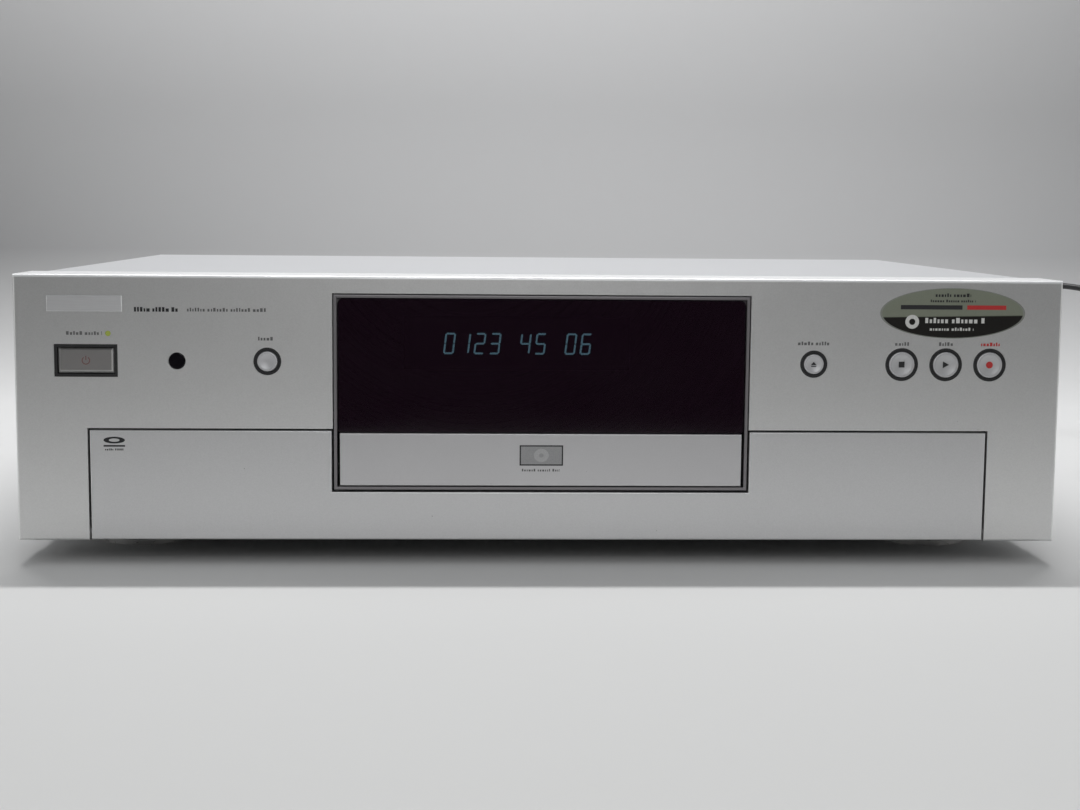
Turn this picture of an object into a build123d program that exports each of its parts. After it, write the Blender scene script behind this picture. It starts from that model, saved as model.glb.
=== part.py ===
from build123d import *
from math import cos, pi, radians, sin, sqrt, tan
import os

# A full-width disc recorder with a tray behind a centre door, and its mains lead put away in a coil.
# Millimetres. While it is built, X runs to the right as seen from the front, Y backwards from the
# plane of the front face, and Z up from the table. export_all() then centres the set over its origin.

# Housing
set_w = 435.0            # width of the front panel
panel_h = 110.5          # height of the front panel
foot_h = 10.0            # height of the feet
body_depth = 324.0       # front face to the back of the cover
bezel_depth = 32.0       # how far the front panel reaches back over the cover's front edge
panel_t = 3.0            # thickness of the front panel
bezel_wall = 2.0         # thickness of its top and sides
bezel_round = 1.0        # rounding of its front edges
cover_inset = 0.7        # how far the cover stays inside the front panel's outline
cover_t = 1.0            # sheet of the cover
cover_round = 1.5        # bend between its top and sides
sheet_t = 1.0            # sheet of the base
rear_t = 1.2             # sheet of the rear panel
sheet_gap = 0.3          # play between sheets that are screwed together
base_front_y = 19.0      # where the base's front fold stands
base_fold_h = 9.0        # height of the base's folds above its floor
vent_w = 2.5             # cooling slots in the cover's sides
vent_len = 22.0
vent_pitch = 8.0
vents_per_row = 14
vent_rows = 2
vent_row_gap = 10.0
vent_low = 34.0          # lower end of the lower row above the base
vent_rear = 60.0         # last slot to the rear face

# Feet
foot_r = 23.0
foot_rim_r = 19.5        # where the foot narrows to its pad
foot_rim_h = 2.2
foot_rim_step = 1.2      # height of the slope from the pad to the full width
foot_round = 0.8
foot_inset = 41.5        # middle of a foot to the end of the set
foot_front_y = 60.0
foot_rear_inset = 44.0   # middle of a rear foot to the rear face

# Centre frame with its window and the tray door
frame_x = -0.45          # middle of the frame
frame_w = 173.0
frame_low = 21.45        # lower edge above the panel's lower edge
frame_drop = 7.5         # upper edge below the panel's upper edge
frame_strip = 1.35       # width of the visible strip
frame_depth = 6.0
frame_groove = 0.4       # dark groove round the frame
frame_flange = 3.0       # how far its upper flange laps behind the panel
frame_round = 0.5
window_gap = 0.3         # window to frame
window_t = 3.0
window_set_back = 0.2
window_round = 2.5       # rounding of its upper corners
window_bevel = 0.6
backing_t = 2.0          # plate behind the window
door_side_gap = 1.15     # door to the strip beside it
door_h = 22.0
door_t = 3.5
door_low_gap = 0.5       # door to the strip below it
door_gap = 0.45          # door to the window above it
door_round = 0.35

# Flap
flap_inset_left = 30.0   # its ends, each from the end of the set
flap_inset_right = 30.5
flap_h = 46.3
flap_t = 3.0
flap_gap = 0.8           # flap to panel and frame
flap_low = 0.4           # lower edge above the panel's lower edge
flap_round = 0.6
hinge_y = 4.5            # hinge line behind the front face
hinge_up = 3.4           # hinge line above the panel's lower edge
pin_r = 1.5
pin_len = 3.4
pin_play = 0.05
lug_w = 5.0
lug_r = 2.6
bearing_w = 6.0          # the panel's bearing blocks for the pins
bearing_h = 8.0
bearing_wall = 2.0       # block behind the pin
socket_wall_y = 16.0     # socket panel behind the flap
socket_wall_t = 2.0

# Keys, each placed by its middle
key_drop = 35.4          # key row below the panel's upper edge
key_travel = 0.8
key_play = 0.3           # key to collar
collar_gap = 0.05        # collar to panel
collar_wall = 1.2
collar_set_back = 0.25
guide_t = 2.0            # thickness of the black guide strips behind the panel
guide_h = 18.0
guide_margin = 9.0       # how far a strip passes its last collar
key_depth = 5.6          # front face of the set to the keys' flanges
key_flange_t = 1.2
key_flange = 1.4         # how far the flange laps the collar
plunger_r = 1.5
plunger_len = 2.6
switch_r = 2.2
switch_gap = 0.4         # plunger to switch when the key is pressed home
key_proud = 0.4
key_round = 0.5
dish_share = 0.78        # width of the hollow in a round key's face, as a share of the key
dish_depth = 0.6
standby_inset = 29.2     # from the left end of the set
standby_w = 22.8
standby_h = 10.4
standby_set_back = 0.1
standby_bevel = 0.9
small_key_r = 4.2
small_key_gap = 27.15    # middle of the panel and open/close keys to the centre frame
large_key_r = 5.4
stop_inset = 67.2        # from the right end of the set
transport_pitch = 18.6

# Small pieces on the front
infrared_inset = 66.4    # from the left end of the set
infrared_r = 3.5
infrared_len = 9.0
infrared_set_back = 0.1
infrared_round = 0.4
fit_gap = 0.05
lamp_inset = 38.4        # from the left end of the set
lamp_drop = 24.2         # below the panel's upper edge, as are the next two
lamp_r = 1.1
lamp_len = 8.0
lamp_proud = 0.25
lamp_round = 0.2
label_inset = 46.4       # from the right end of the set
label_drop = 13.8
label_w = 61.2
label_h = 21.0
label_t = 0.15
plate_inset = 29.0       # from the left end of the set
plate_drop = 11.9
plate_w = 30.7
plate_h = 6.6
plate_proud = 0.5
plate_bevel = 0.25

# Display and key board
board_t = 1.6
board_y = 16.0
board_inset = 8.5        # its ends to the ends of the set
board_low = 52.5         # lower edge above the panel's lower edge
board_drop = 10.0        # upper edge below the panel's upper edge
board_post_r = 2.5
board_post_inset = 4.0
tube_x = -11.0
tube_drop = 27.6         # middle of the tube below the panel's upper edge
tube_w = 92.0
tube_h = 20.0
tube_depth = 6.5
tube_play = 1.0          # tube to the opening in the backing plate
tube_round = 0.8

# Sockets and keys behind the flap
front_socket_gap = 22.15 # first socket to the notch round the drive
front_socket_pitch = 15.0
front_socket_up = 26.0
socket_r = 4.15          # phono sockets
socket_bore_r = 1.7
socket_reach = 9.0       # how far a phono socket stands out
socket_ring_r = 5.5      # round video socket
socket_ring_bore_r = 4.6
socket_ring_depth = 6.0
socket_ring_proud = 1.0
socket_block_h = 18.0
socket_block_depth = 11.0
hidden_key_gap = 19.25   # last of the three keys to the notch round the drive
hidden_key_pitch = 18.0
hidden_key_up = 24.0
hidden_key_w = 10.0
hidden_key_h = 5.0
hidden_key_proud = 2.5
hidden_key_round = 0.6
hidden_flange_gap = 0.4  # socket panel to the keys' flanges
hidden_board_y = 26.0
hidden_board_margin = 7.0
hidden_board_h = 24.0

# Disc drive
drive_w = 146.0
drive_front_y = 22.0
drive_depth = 186.0
drive_wall = 2.0
drive_up = 2.0           # the drive's little feet
drive_h = 42.0
drive_sill = 23.0        # height of the front wall below the tray
drive_foot_r = 4.0
drive_foot_inset = 10.0
tray_w = 128.0
tray_len = 168.0
tray_low = 27.0          # underside of the tray above the drive's own underside
tray_t = 10.0
tray_play = 0.3
tray_lip = 5.0           # how far the guide rails reach over the tray's edges
rail_t = 2.5
rail_step = 2.0          # upper rails set back from the lower ones
recess_r = 60.5
recess_depth = 5.0
recess_front = 7.0       # front of the recess to the front of the tray
small_recess_r = 41.0
small_recess_depth = 1.0
slot_w = 48.0            # slot in the tray for turntable and lens
rack_module = 1.0
rack_x = -55.5
rack_w = 6.0
rack_end_gap = 6.0       # last teeth to the ends of the tray
pinion_teeth = 18
pinion_y = 36.0
tooth_addendum = 0.8
tooth_dedendum = 1.1
tooth_root_w = 1.5
tooth_tip_w = 0.7
tooth_sunk = 0.5         # how deep a tooth sits in its rack or wheel
gearbox_w = 10.0
gearbox_depth = 20.0
gearbox_drop = 1.4       # gearbox top below the tray
gearbox_side_gap = 1.0   # pinion to gearbox
motor_r = 7.5
motor_len = 22.0
shaft_r = 1.5
shaft_play = 0.05
pinion_shaft_end = 2.0   # end of its shaft to the far side of the gearbox
gearbox_floor = 1.0      # wall behind the shaft

# Clamp
bridge_t = 2.0
bridge_depth = 44.0
puck_r = 13.0
puck_lip_r = 16.0
puck_lip_t = 1.5
puck_drop = 4.8
puck_play = 0.35

# Deck that tilts up to the disc
deck_w = 92.0
deck_t = 2.0
deck_up = 10.0           # deck plate above the drive's underside
deck_front = 24.0        # front edge before the disc's middle
deck_pivot = 94.0        # tilting pins behind the disc's middle
deck_pin_r = 2.0
deck_pin_len = 6.0
deck_block_w = 8.0
deck_side_gap = 0.4      # deck plate to the bearings of its pins
deck_block_depth = 10.0
deck_block_rise = 4.0    # top of the bearings above the pins
deck_pin_root = 4.0      # how far the pins run into the plate
motor_boss_r = 11.0
motor_boss_h = 9.0
turntable_r = 14.0
turntable_t = 4.5
turntable_gap = 0.4
hub_r = 7.3
hub_h = 2.0
hub_round = 1.0
spindle_floor = 1.0      # plate left under the spindle
spindle_play = 0.5
rod_r = 1.5
rod_x = 32.0
rod_up = 3.1             # rods above the deck plate
rod_end_w = 7.0
rod_end_depth = 5.0
rod_end_wall = 1.0       # wall left at the outer end of each mount
rod_end_play = 0.2
rod_cap = 2.4            # top of the mounts above the rods
rod_first = 15.5         # front of the rods behind the disc's middle
rod_fit = 0.02           # rods in their mounts
rod_len = 68.0
sled_first = 16.5        # front of the sled behind the disc's middle when it is all the way in
sled_depth = 26.0
sled_w = 74.0
sled_t = 4.4
sled_head_w = 34.0
sled_head_h = 7.5
lens_r = 3.2
lens_h = 1.2
lens_back = 7.5          # lens behind the sled's front edge
sled_arm_wall = 2.5      # sled's arm outside the lead screw
sled_arm_first = 8.0     # its front and depth
sled_arm_depth = 8.0
rod_play = 0.05
screw_x = -42.0
screw_r = 1.5
screw_play = 0.35
screw_end_w = 6.0        # mounts of the lead screw

# Boards and power supply
board_up = 9.0           # boards above the base plate
standoff_r = 3.0
standoff_inset = 6.0
board_side_gap = 7.2     # boards to the base's folds
board_front_y = 60.0
power_gap = 19.0         # power board to the drive
power_rear_gap = 26.8    # power board to the rear panel
transformer_w = 42.0
transformer_depth = 36.0
transformer_h = 32.0
transformer_along = 0.62 # its middle, as a share of the board's depth
winding_w = 25.2         # slots that show the winding
winding_slot = 6.0
winding_pitch = 22.3
capacitor_r = 12.5
capacitor_h = 38.0
capacitor_round = 1.2
capacitor_inset = 10.0
capacitor_along = 0.35
fin_count = 7
fin_t = 1.6
fin_pitch = 6.0
fin_len = 60.0
fin_reach = 12.0
sink_h = 40.0
sink_base_t = 3.0
sink_inset = 20.0
sink_along = 0.3
main_gap = 9.0           # main board to the drive
main_rear_gap = 12.8     # main board to the rear panel
wing_gap = 14.0          # its part behind the drive, to the power board
wing_front_gap = 10.0    # and to the drive

# Rear sockets
inlet_inset = 27.5       # from the right end of the set
inlet_drop = 14.5        # below the panel's upper edge
inlet_w = 26.0
inlet_h = 17.0
inlet_flange_w = 34.0
inlet_flange_h = 21.0
inlet_flange_t = 2.0
inlet_depth = 15.0
inlet_proud = 0.8
inlet_hole_w = 16.6
inlet_hole_h = 8.8
inlet_hole_depth = 12.5
scart_x = 44.0
scart_w = 54.0
scart_h = 20.0
scart_hole_w = 46.0
scart_hole_h = 11.0
scart_depth = 12.0
scart_hole_depth = 9.0
scart_proud = 0.6
scart_gap = 4.0          # between the two sockets
tongue_w = 39.6          # contact tongue in each socket
tongue_t = 2.0
tongue_drop = 3.6
tongue_set_back = 1.0
rear_phono_x = -46.0
rear_phono_pitch = 14.0
rear_phono_columns = 4
rear_phono_rows = 2
rear_phono_depth = 12.0
rear_phono_low = 2.0     # block below the lower row
tuner_inset = 29.5       # from the left end of the set
tuner_w = 44.0
tuner_h = 50.0
tuner_depth = 58.0
aerial_r = 4.8
aerial_bore_r = 3.6
aerial_reach = 9.0
aerial_pitch = 26.0
fan_inset = 107.5        # from the left end of the set
fan_drop = 42.5          # below the panel's upper edge
fan_size = 50.0
fan_depth = 15.0
fan_bore_r = 23.0
fan_hub_r = 10.0
fan_blade_play = 0.8
fan_blades = 7
fan_blade_t = 1.6
fan_blade_chord = 9.0
fan_blade_pitch = 38.0
fan_bar_w = 3.0
fan_bar_t = 2.0
fan_hub_t = 3.0
fan_front_gap = 1.0      # rotor to the front of its housing
fan_rear_gap = 0.5       # rotor to the housing's hub
fan_shaft_r = 1.5
grille_slots = 9
grille_slot_w = 2.6
grille_margin = 1.0

# Mains lead
cord_r = 2.0
nose_play = 0.35
nose_len = 11.5
grip_w = 22.0
grip_h = 15.0
grip_len = 20.0
grip_round = 2.5
relief_r = 4.6
relief_tip_step = 0.5    # how much thicker than the lead its thin end is
coil_lift = 0.9          # the tie lies under the coil
coil_out = 138.5         # middle of the coil to the right end of the set
coil_ahead = 88.0        # and before the rear face
coil_outer = 32.0
coil_inner = 16.0
coil_turns = 3.5         # in each of the two layers
coil_climb = 0.5         # turns over which the lead climbs from one layer to the next
layer_gap = 0.45
coil_tail = 4.0          # straight ends of the coil
tie_t = 0.5
tie_w = 9.0
tie_play = 0.35
plug_relief_len = 30.0
plug_relief_step = 0.15  # how much wider than the lead its thin end is
plug_w = 34.0
plug_len = 34.0
plug_h = 14.2
plug_pin_r = 2.0
plug_pin_len = 19.0
plug_pin_pitch = 19.0
plug_relief_r = 4.4
plug_round = 4.0
plug_end_round = 2.5

# The lead's route from the connector to the coil, chosen by hand: to the right from the right end
# of the set, back from its rear face, and up from the table
lead_route = [
    (-27.5, 45.0, 106.0),
    (-27.5, 67.0, 106.0),
    (-14.5, 101.0, 107.5),
    (24.5, 122.0, 109.0),
    (75.5, 123.0, 108.0),
    (123.5, 106.0, 104.5),
    (166.5, 78.0, 96.5),
    (196.5, 44.0, 77.0),
    (206.5, 6.0, 46.0),
    (196.5, -24.0, 18.0),
    (180.5, -46.0, 3.2),
    (170.5, -66.0, 2.9),
    (170.5, -84.0, 2.9),
]

# Heights and places that follow from the sizes above
panel_z0 = foot_h
panel_z1 = foot_h + panel_h
set_half = set_w / 2
base_top = foot_h + sheet_t
cover_top = panel_z1 - cover_inset
cover_half = set_half - cover_inset
base_half = set_half - bezel_wall - sheet_gap
rear_face = body_depth
rear_inner = body_depth - rear_t
foot_x = set_half - foot_inset
foot_rear_y = rear_face - foot_rear_inset
frame_x0 = frame_x - frame_w / 2
frame_x1 = frame_x + frame_w / 2
frame_z0 = foot_h + frame_low
frame_z1 = panel_z1 - frame_drop
inner_z0 = frame_z0 + frame_strip
inner_z1 = frame_z1 - frame_strip
door_w = frame_w - 2 * (frame_strip + door_side_gap)
door_z0 = inner_z0 + door_low_gap
door_z1 = door_z0 + door_h
window_z0 = door_z1 + door_gap
window_z1 = inner_z1 - window_gap
window_w = frame_w - 2 * (frame_strip + window_gap)
window_y0 = window_set_back
window_y1 = window_set_back + window_t
flap_left = set_half - flap_inset_left
flap_right = set_half - flap_inset_right
flap_z0 = foot_h + flap_low
flap_z1 = foot_h + flap_h
hinge_z = foot_h + hinge_up
key_z = panel_z1 - key_drop
standby_x = standby_inset - set_half
infrared_x = infrared_inset - set_half
panel_key_x = frame_x0 - small_key_gap
open_key_x = frame_x1 + small_key_gap
stop_x = set_half - stop_inset
lamp_x = lamp_inset - set_half
lamp_z = panel_z1 - lamp_drop
label_x = set_half - label_inset
label_z = panel_z1 - label_drop
plate_x = plate_inset - set_half
plate_z = panel_z1 - plate_drop
board_half = set_half - board_inset
board_z0 = foot_h + board_low
board_z1 = panel_z1 - board_drop
tube_z = panel_z1 - tube_drop
notch_x0 = frame_x0 - flap_gap
notch_x1 = frame_x1 + flap_gap
front_socket_x = notch_x1 + front_socket_gap
front_socket_z = foot_h + front_socket_up
hidden_key_z = foot_h + hidden_key_up
hidden_flange_y = socket_wall_y + socket_wall_t + hidden_flange_gap
drive_z0 = base_top + drive_up
drive_half = drive_w / 2
drive_y1 = drive_front_y + drive_depth
tray_z0 = drive_z0 + tray_low
tray_z1 = tray_z0 + tray_t
tray_y0 = door_t
disc_y = tray_y0 + recess_front + recess_r
pitch_r = rack_module * pinion_teeth / 2
pitch_z = tray_z0 - tooth_dedendum
pinion_z = pitch_z - pitch_r
deck_z0 = drive_z0 + deck_up
deck_z1 = deck_z0 + deck_t
deck_mid_z = deck_z0 + deck_t / 2
deck_block_in = deck_w / 2 + deck_side_gap
deck_pivot_y = disc_y + deck_pivot
rod_z = deck_z1 + rod_up
board_level = base_top + board_up
board_top = board_level + board_t
power_x0 = drive_half + power_gap
power_x1 = base_half - board_side_gap
power_y1 = rear_inner - power_rear_gap
power_depth = power_y1 - board_front_y
main_x0 = board_side_gap - base_half
main_x1 = -drive_half - main_gap
main_y1 = rear_inner - main_rear_gap
wing_x1 = power_x0 - wing_gap
wing_y0 = drive_y1 + wing_front_gap
inlet_x = set_half - inlet_inset
inlet_z = panel_z1 - inlet_drop
tuner_x = tuner_inset - set_half
fan_x = fan_inset - set_half
fan_z = panel_z1 - fan_drop
coil_x = set_half + coil_out
coil_y = rear_face - coil_ahead
layer_step = 2 * cord_r + layer_gap
coil_z = coil_lift + cord_r
coil_top_z = coil_z + layer_step

parts = {}


def block(x0, x1, y0, y1, z0, z1):
    middle = Pos((x0 + x1) / 2, (y0 + y1) / 2, (z0 + z1) / 2)
    return middle * Box(x1 - x0, y1 - y0, z1 - z0)


def rod_along_x(y, z, r, x0, x1):
    return Pos((x0 + x1) / 2, y, z) * Rot(0, 90, 0) * Cylinder(r, x1 - x0)


def rod_along_y(x, z, r, y0, y1):
    return Pos(x, (y0 + y1) / 2, z) * Rot(90, 0, 0) * Cylinder(r, y1 - y0)


def rod_along_z(x, y, r, z0, z1):
    return Pos(x, y, (z0 + z1) / 2) * Cylinder(r, z1 - z0)


def edges_at(solid, axis, place):
    return solid.edges().filter_by_position(axis, place - 0.001, place + 0.001)


def stadium_along_y(x, z, w, h, y0, y1):
    """A bar with half-round ends that runs along Y."""
    outline = Plane((x, y0, z), x_dir=(1, 0, 0), z_dir=(0, 1, 0)) * SlotOverall(w, h)
    return extrude(outline, y1 - y0)


# Front panel and cover

def front_panel():
    shell = block(-set_half, set_half, 0, bezel_depth, panel_z0, panel_z1)
    shell = fillet(edges_at(shell, Axis.Y, 0), bezel_round)
    inner = set_half - bezel_wall
    shell -= block(-inner, inner, panel_t, bezel_depth, panel_z0, panel_z1 - bezel_wall)
    shell -= block(
        -flap_left - flap_gap, flap_right + flap_gap, 0, panel_t, panel_z0, flap_z1 + flap_gap
    )
    shell -= block(
        frame_x0 - frame_groove, frame_x1 + frame_groove, 0, panel_t,
        frame_z0 - frame_groove, frame_z1 + frame_groove,
    )
    margin = key_play + collar_wall + collar_gap
    for x, r in round_keys():
        shell -= rod_along_y(x, key_z, r + margin, 0, panel_t)
    shell -= block(
        *around(standby_x, standby_w, margin), 0, panel_t, *around(key_z, standby_h, margin)
    )
    shell -= rod_along_y(infrared_x, key_z, infrared_r + fit_gap, 0, panel_t)
    shell -= rod_along_y(lamp_x, lamp_z, lamp_r + fit_gap, 0, panel_t)
    for side, end in ((-1, flap_left), (1, flap_right)):
        inner, outer = end + flap_gap, end + flap_gap + bearing_w
        x0, x1 = sorted((side * inner, side * outer))
        bearing = block(x0, x1, panel_t, hinge_y + pin_r + bearing_wall, panel_z0, panel_z0 + bearing_h)
        web = block(x0, x1, 0, panel_t, panel_z0 + bezel_round, panel_z0 + bearing_h)
        shell += bearing + web
        shell -= rod_along_x(hinge_y, hinge_z, pin_r + pin_play, x0, x1)
    for x, z in board_corners():
        shell += rod_along_y(x, z, board_post_r, panel_t, board_y)
    return shell


def round_keys():
    """Middle and radius of each round key, from left to right."""
    large = [(stop_x + i * transport_pitch, large_key_r) for i in range(3)]
    return [(panel_key_x, small_key_r), (open_key_x, small_key_r)] + large


def board_corners():
    half = board_half - board_post_inset
    low, high = board_z0 + board_post_inset, board_z1 - board_post_inset
    return [(x, z) for x in (-half, half) for z in (low, high)]


def top_cover():
    cover = block(-cover_half, cover_half, bezel_depth, rear_face, foot_h, cover_top)
    bends = [e for e in cover.edges().filter_by(Axis.Y) if e.center().Z > panel_z0 + 1]
    cover = fillet(bends, cover_round)
    cover -= block(
        -cover_half + cover_t, cover_half - cover_t, bezel_depth, rear_face, foot_h, cover_top - cover_t
    )
    cuts = []
    for i in range(vents_per_row):
        for row in range(vent_rows):
            y = rear_face - vent_rear - i * vent_pitch
            z = foot_h + vent_low + row * (vent_len + vent_row_gap)
            cuts.append(block(-cover_half - 1, cover_half + 1, y, y + vent_w, z, z + vent_len))
    return cover - cuts


def base_chassis():
    base = block(-base_half, base_half, base_front_y, rear_face, foot_h, base_top)
    top = base_top + base_fold_h
    base += block(-base_half, base_half, base_front_y, base_front_y + sheet_t, base_top, top)
    for side in (-1, 1):
        x0, x1 = sorted((side * base_half, side * (base_half - sheet_t)))
        base += block(x0, x1, base_front_y, rear_inner - sheet_gap, base_top, top)
    for x, y in standoffs():
        base += rod_along_z(x, y, standoff_r, base_top, board_level)
    return base


def standoffs():
    inset = standoff_inset
    front_y = board_front_y + inset
    power = [(x, y) for x in (power_x0 + inset, power_x1 - inset) for y in (front_y, power_y1 - inset)]
    main = [
        (main_x0 + inset, front_y),
        (main_x1 - inset, front_y),
        (main_x0 + inset, main_y1 - inset),
        (wing_x1 - inset, main_y1 - inset),
    ]
    return power + main


def rear_panel():
    panel = block(-base_half, base_half, rear_inner, rear_face, base_top, cover_top - cover_t - sheet_gap)
    holes = [(inlet_x, inlet_w, inlet_z, inlet_h)] + [(scart_x, scart_w, z, scart_h) for z in scart_levels()]
    for x, w, z, h in holes:
        panel -= block(*around(x, w, fit_gap), rear_inner, rear_face, *around(z, h, fit_gap))
    for x, z in rear_phonos():
        panel -= rod_along_y(x, z, socket_r + sheet_gap, rear_inner, rear_face)
    for x, z in aerials():
        panel -= rod_along_y(x, z, aerial_r + sheet_gap, rear_inner, rear_face)
    pitch = 2 * fan_bore_r / grille_slots
    for i in range(grille_slots):
        z = fan_z + (i - (grille_slots - 1) / 2) * pitch
        reach = sqrt(fan_bore_r ** 2 - (z - fan_z) ** 2) - grille_margin
        panel -= block(fan_x - reach, fan_x + reach, rear_inner, rear_face, *around(z, grille_slot_w, 0))
    return panel


def around(middle, size, gap):
    return middle - size / 2 - gap, middle + size / 2 + gap


def foot():
    shoulder = foot_rim_h + foot_rim_step
    outline = make_face(Polyline(
        (0, 0), (foot_rim_r, 0), (foot_rim_r, foot_rim_h), (foot_r, shoulder),
        (foot_r, foot_h), (0, foot_h), (0, 0),
    ))
    body = revolve(Plane.XZ * outline, Axis.Z)
    return fillet(edges_at(body, Axis.Z, shoulder), foot_round)


# Centre frame

def display_frame():
    frame = block(frame_x0, frame_x1, 0, frame_depth, frame_z0, frame_z1)
    frame = fillet(edges_at(frame, Axis.Y, 0), frame_round)
    frame += block(frame_x0, frame_x1, panel_t, frame_depth, frame_z1, frame_z1 + frame_flange)
    x0, x1 = frame_x0 + frame_strip, frame_x1 - frame_strip
    frame -= block(x0, x1, 0, window_y1, inner_z0, inner_z1)
    frame -= block(x0, x1, window_y1, frame_depth, inner_z0, window_z0)
    frame -= block(x0, x1, window_y1 + backing_t, frame_depth, window_z0, inner_z1)
    frame -= block(
        *around(tube_x, tube_w, tube_play), window_y1, frame_depth, *around(tube_z, tube_h, tube_play)
    )
    return frame


def display_window():
    window = block(*around(frame_x, window_w, 0), window_y0, window_y1, window_z0, window_z1)
    corners = [e for e in window.edges().filter_by(Axis.Y) if e.center().Z > window_z1 - 1]
    window = fillet(corners, window_round)
    top = [e for e in edges_at(window, Axis.Y, window_y0) if e.center().Z > window_z1 - window_round]
    return chamfer(top, window_bevel)


def tray_front():
    door = block(*around(frame_x, door_w, 0), 0, door_t, door_z0, door_z1)
    return fillet(edges_at(door, Axis.Y, 0), door_round)


def front_flap():
    flap = block(-flap_left, flap_right, 0, flap_t, flap_z0, flap_z1)
    flap -= block(
        frame_x0 - flap_gap, frame_x1 + flap_gap, 0, flap_t, frame_z0 - flap_gap, flap_z1
    )
    flap = fillet(edges_at(flap, Axis.Y, 0), flap_round)
    for side, end in ((-1, flap_left), (1, flap_right)):
        x0, x1 = sorted((side * end, side * (end - lug_w)))
        flap += block(x0, x1, flap_t, hinge_y, hinge_z - lug_r, hinge_z + lug_r)
        flap += rod_along_x(hinge_y, hinge_z, lug_r, x0, x1)
        x0, x1 = sorted((side * (end - lug_w), side * (end + pin_len)))
        flap += rod_along_x(hinge_y, hinge_z, pin_r, x0, x1)
    return flap


def socket_panel():
    wall_x0, wall_x1 = -flap_left - flap_gap, flap_right + flap_gap
    y1 = socket_wall_y + socket_wall_t
    ledge_z = flap_z1 + flap_gap
    panel = block(wall_x0, wall_x1, socket_wall_y, y1, panel_z0, ledge_z + socket_wall_t)
    panel -= block(notch_x0, notch_x1, socket_wall_y, y1, frame_z0 - flap_gap, ledge_z + socket_wall_t)
    for x0, x1 in ((wall_x0, notch_x0), (notch_x1, wall_x1)):
        panel += block(x0, x1, panel_t, socket_wall_y, ledge_z, ledge_z + socket_wall_t)
    for x0, x1 in ((wall_x0 - socket_wall_t, wall_x0), (wall_x1, wall_x1 + socket_wall_t)):
        panel += block(x0, x1, panel_t, y1, panel_z0 + bearing_h + 1, ledge_z + socket_wall_t)
    for x in hidden_key_places():
        panel -= block(
            *around(x, hidden_key_w, key_play), socket_wall_y, y1,
            *around(hidden_key_z, hidden_key_h, key_play),
        )
    for i in range(3):
        panel -= rod_along_y(front_socket_place(i), front_socket_z, socket_r + key_play, socket_wall_y, y1)
    panel -= rod_along_y(front_socket_place(3), front_socket_z, socket_ring_r + key_play, socket_wall_y, y1)
    for x in hidden_board_ends():
        panel += rod_along_y(x, hidden_key_z, standoff_r, y1, hidden_board_y)
    return panel


def hidden_key_places():
    last = notch_x0 - hidden_key_gap
    return [last - i * hidden_key_pitch for i in (2, 1, 0)]


def hidden_board_ends():
    places = hidden_key_places()
    reach = hidden_key_w / 2 + hidden_board_margin
    return places[0] - reach, places[-1] + reach


def front_socket_place(i):
    return front_socket_x + i * front_socket_pitch


# Keys

def key_guide(places, margin_low, margin_high):
    """A black strip behind the panel with a collar for each round key, given by its middle and radius."""
    xs = [x for x, _ in places]
    guide = block(
        min(xs) - margin_low, max(xs) + margin_high, panel_t, panel_t + guide_t, *around(key_z, guide_h, 0)
    )
    for x, r in places:
        guide += rod_along_y(x, key_z, r + key_play + collar_wall, collar_set_back, panel_t)
        guide -= rod_along_y(x, key_z, r + key_play, 0, panel_t + guide_t)
    return guide


def left_guide():
    guide = key_guide([(panel_key_x, small_key_r)], panel_key_x - standby_x + standby_w, guide_margin)
    margin = key_play + collar_wall
    guide += block(
        *around(standby_x, standby_w, margin), collar_set_back, panel_t, *around(key_z, standby_h, margin)
    )
    guide -= block(
        *around(standby_x, standby_w, key_play), 0, panel_t + guide_t, *around(key_z, standby_h, key_play)
    )
    guide -= rod_along_y(infrared_x, key_z, infrared_r + fit_gap, 0, panel_t + guide_t)
    return guide


def plunger(x, z, from_y):
    return rod_along_y(x, z, plunger_r, from_y, from_y + plunger_len)


def round_key(x, r):
    face = -key_proud
    key = rod_along_y(x, key_z, r, face, key_depth)
    key = fillet(edges_at(key, Axis.Y, face), key_round)
    sphere_r = ((dish_share * r) ** 2 + dish_depth ** 2) / (2 * dish_depth)
    key -= Pos(x, face - sphere_r + dish_depth, key_z) * Sphere(sphere_r)
    key += rod_along_y(x, key_z, r + key_flange, key_depth, key_depth + key_flange_t)
    return key + plunger(x, key_z, key_depth + key_flange_t)


def standby_key():
    face = standby_set_back
    key = block(*around(standby_x, standby_w, 0), face, key_depth, *around(key_z, standby_h, 0))
    key = chamfer(edges_at(key, Axis.Y, face), standby_bevel)
    key += block(
        *around(standby_x, standby_w, key_flange), key_depth, key_depth + key_flange_t,
        *around(key_z, standby_h, key_flange),
    )
    return key + plunger(standby_x, key_z, key_depth + key_flange_t)


def hidden_key(x):
    y0, y1 = socket_wall_y - hidden_key_proud, hidden_flange_y
    key = block(*around(x, hidden_key_w, 0), y0, y1, *around(hidden_key_z, hidden_key_h, 0))
    key = fillet(edges_at(key, Axis.Y, y0), hidden_key_round)
    key += block(
        *around(x, hidden_key_w, key_flange), y1, y1 + key_flange_t,
        *around(hidden_key_z, hidden_key_h, key_flange),
    )
    return key + plunger(x, hidden_key_z, y1 + key_flange_t)


def switch(x, z, board_front, plunger_end):
    return rod_along_y(x, z, switch_r, plunger_end + key_travel + switch_gap, board_front)


def hidden_key_board():
    x0, x1 = hidden_board_ends()
    reach = standoff_r
    board = block(
        x0 - reach, x1 + reach, hidden_board_y, hidden_board_y + board_t,
        *around(hidden_key_z, hidden_board_h, 0),
    )
    end = hidden_flange_y + key_flange_t + plunger_len
    for x in hidden_key_places():
        board += switch(x, hidden_key_z, hidden_board_y, end)
    return board


# Display

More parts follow.
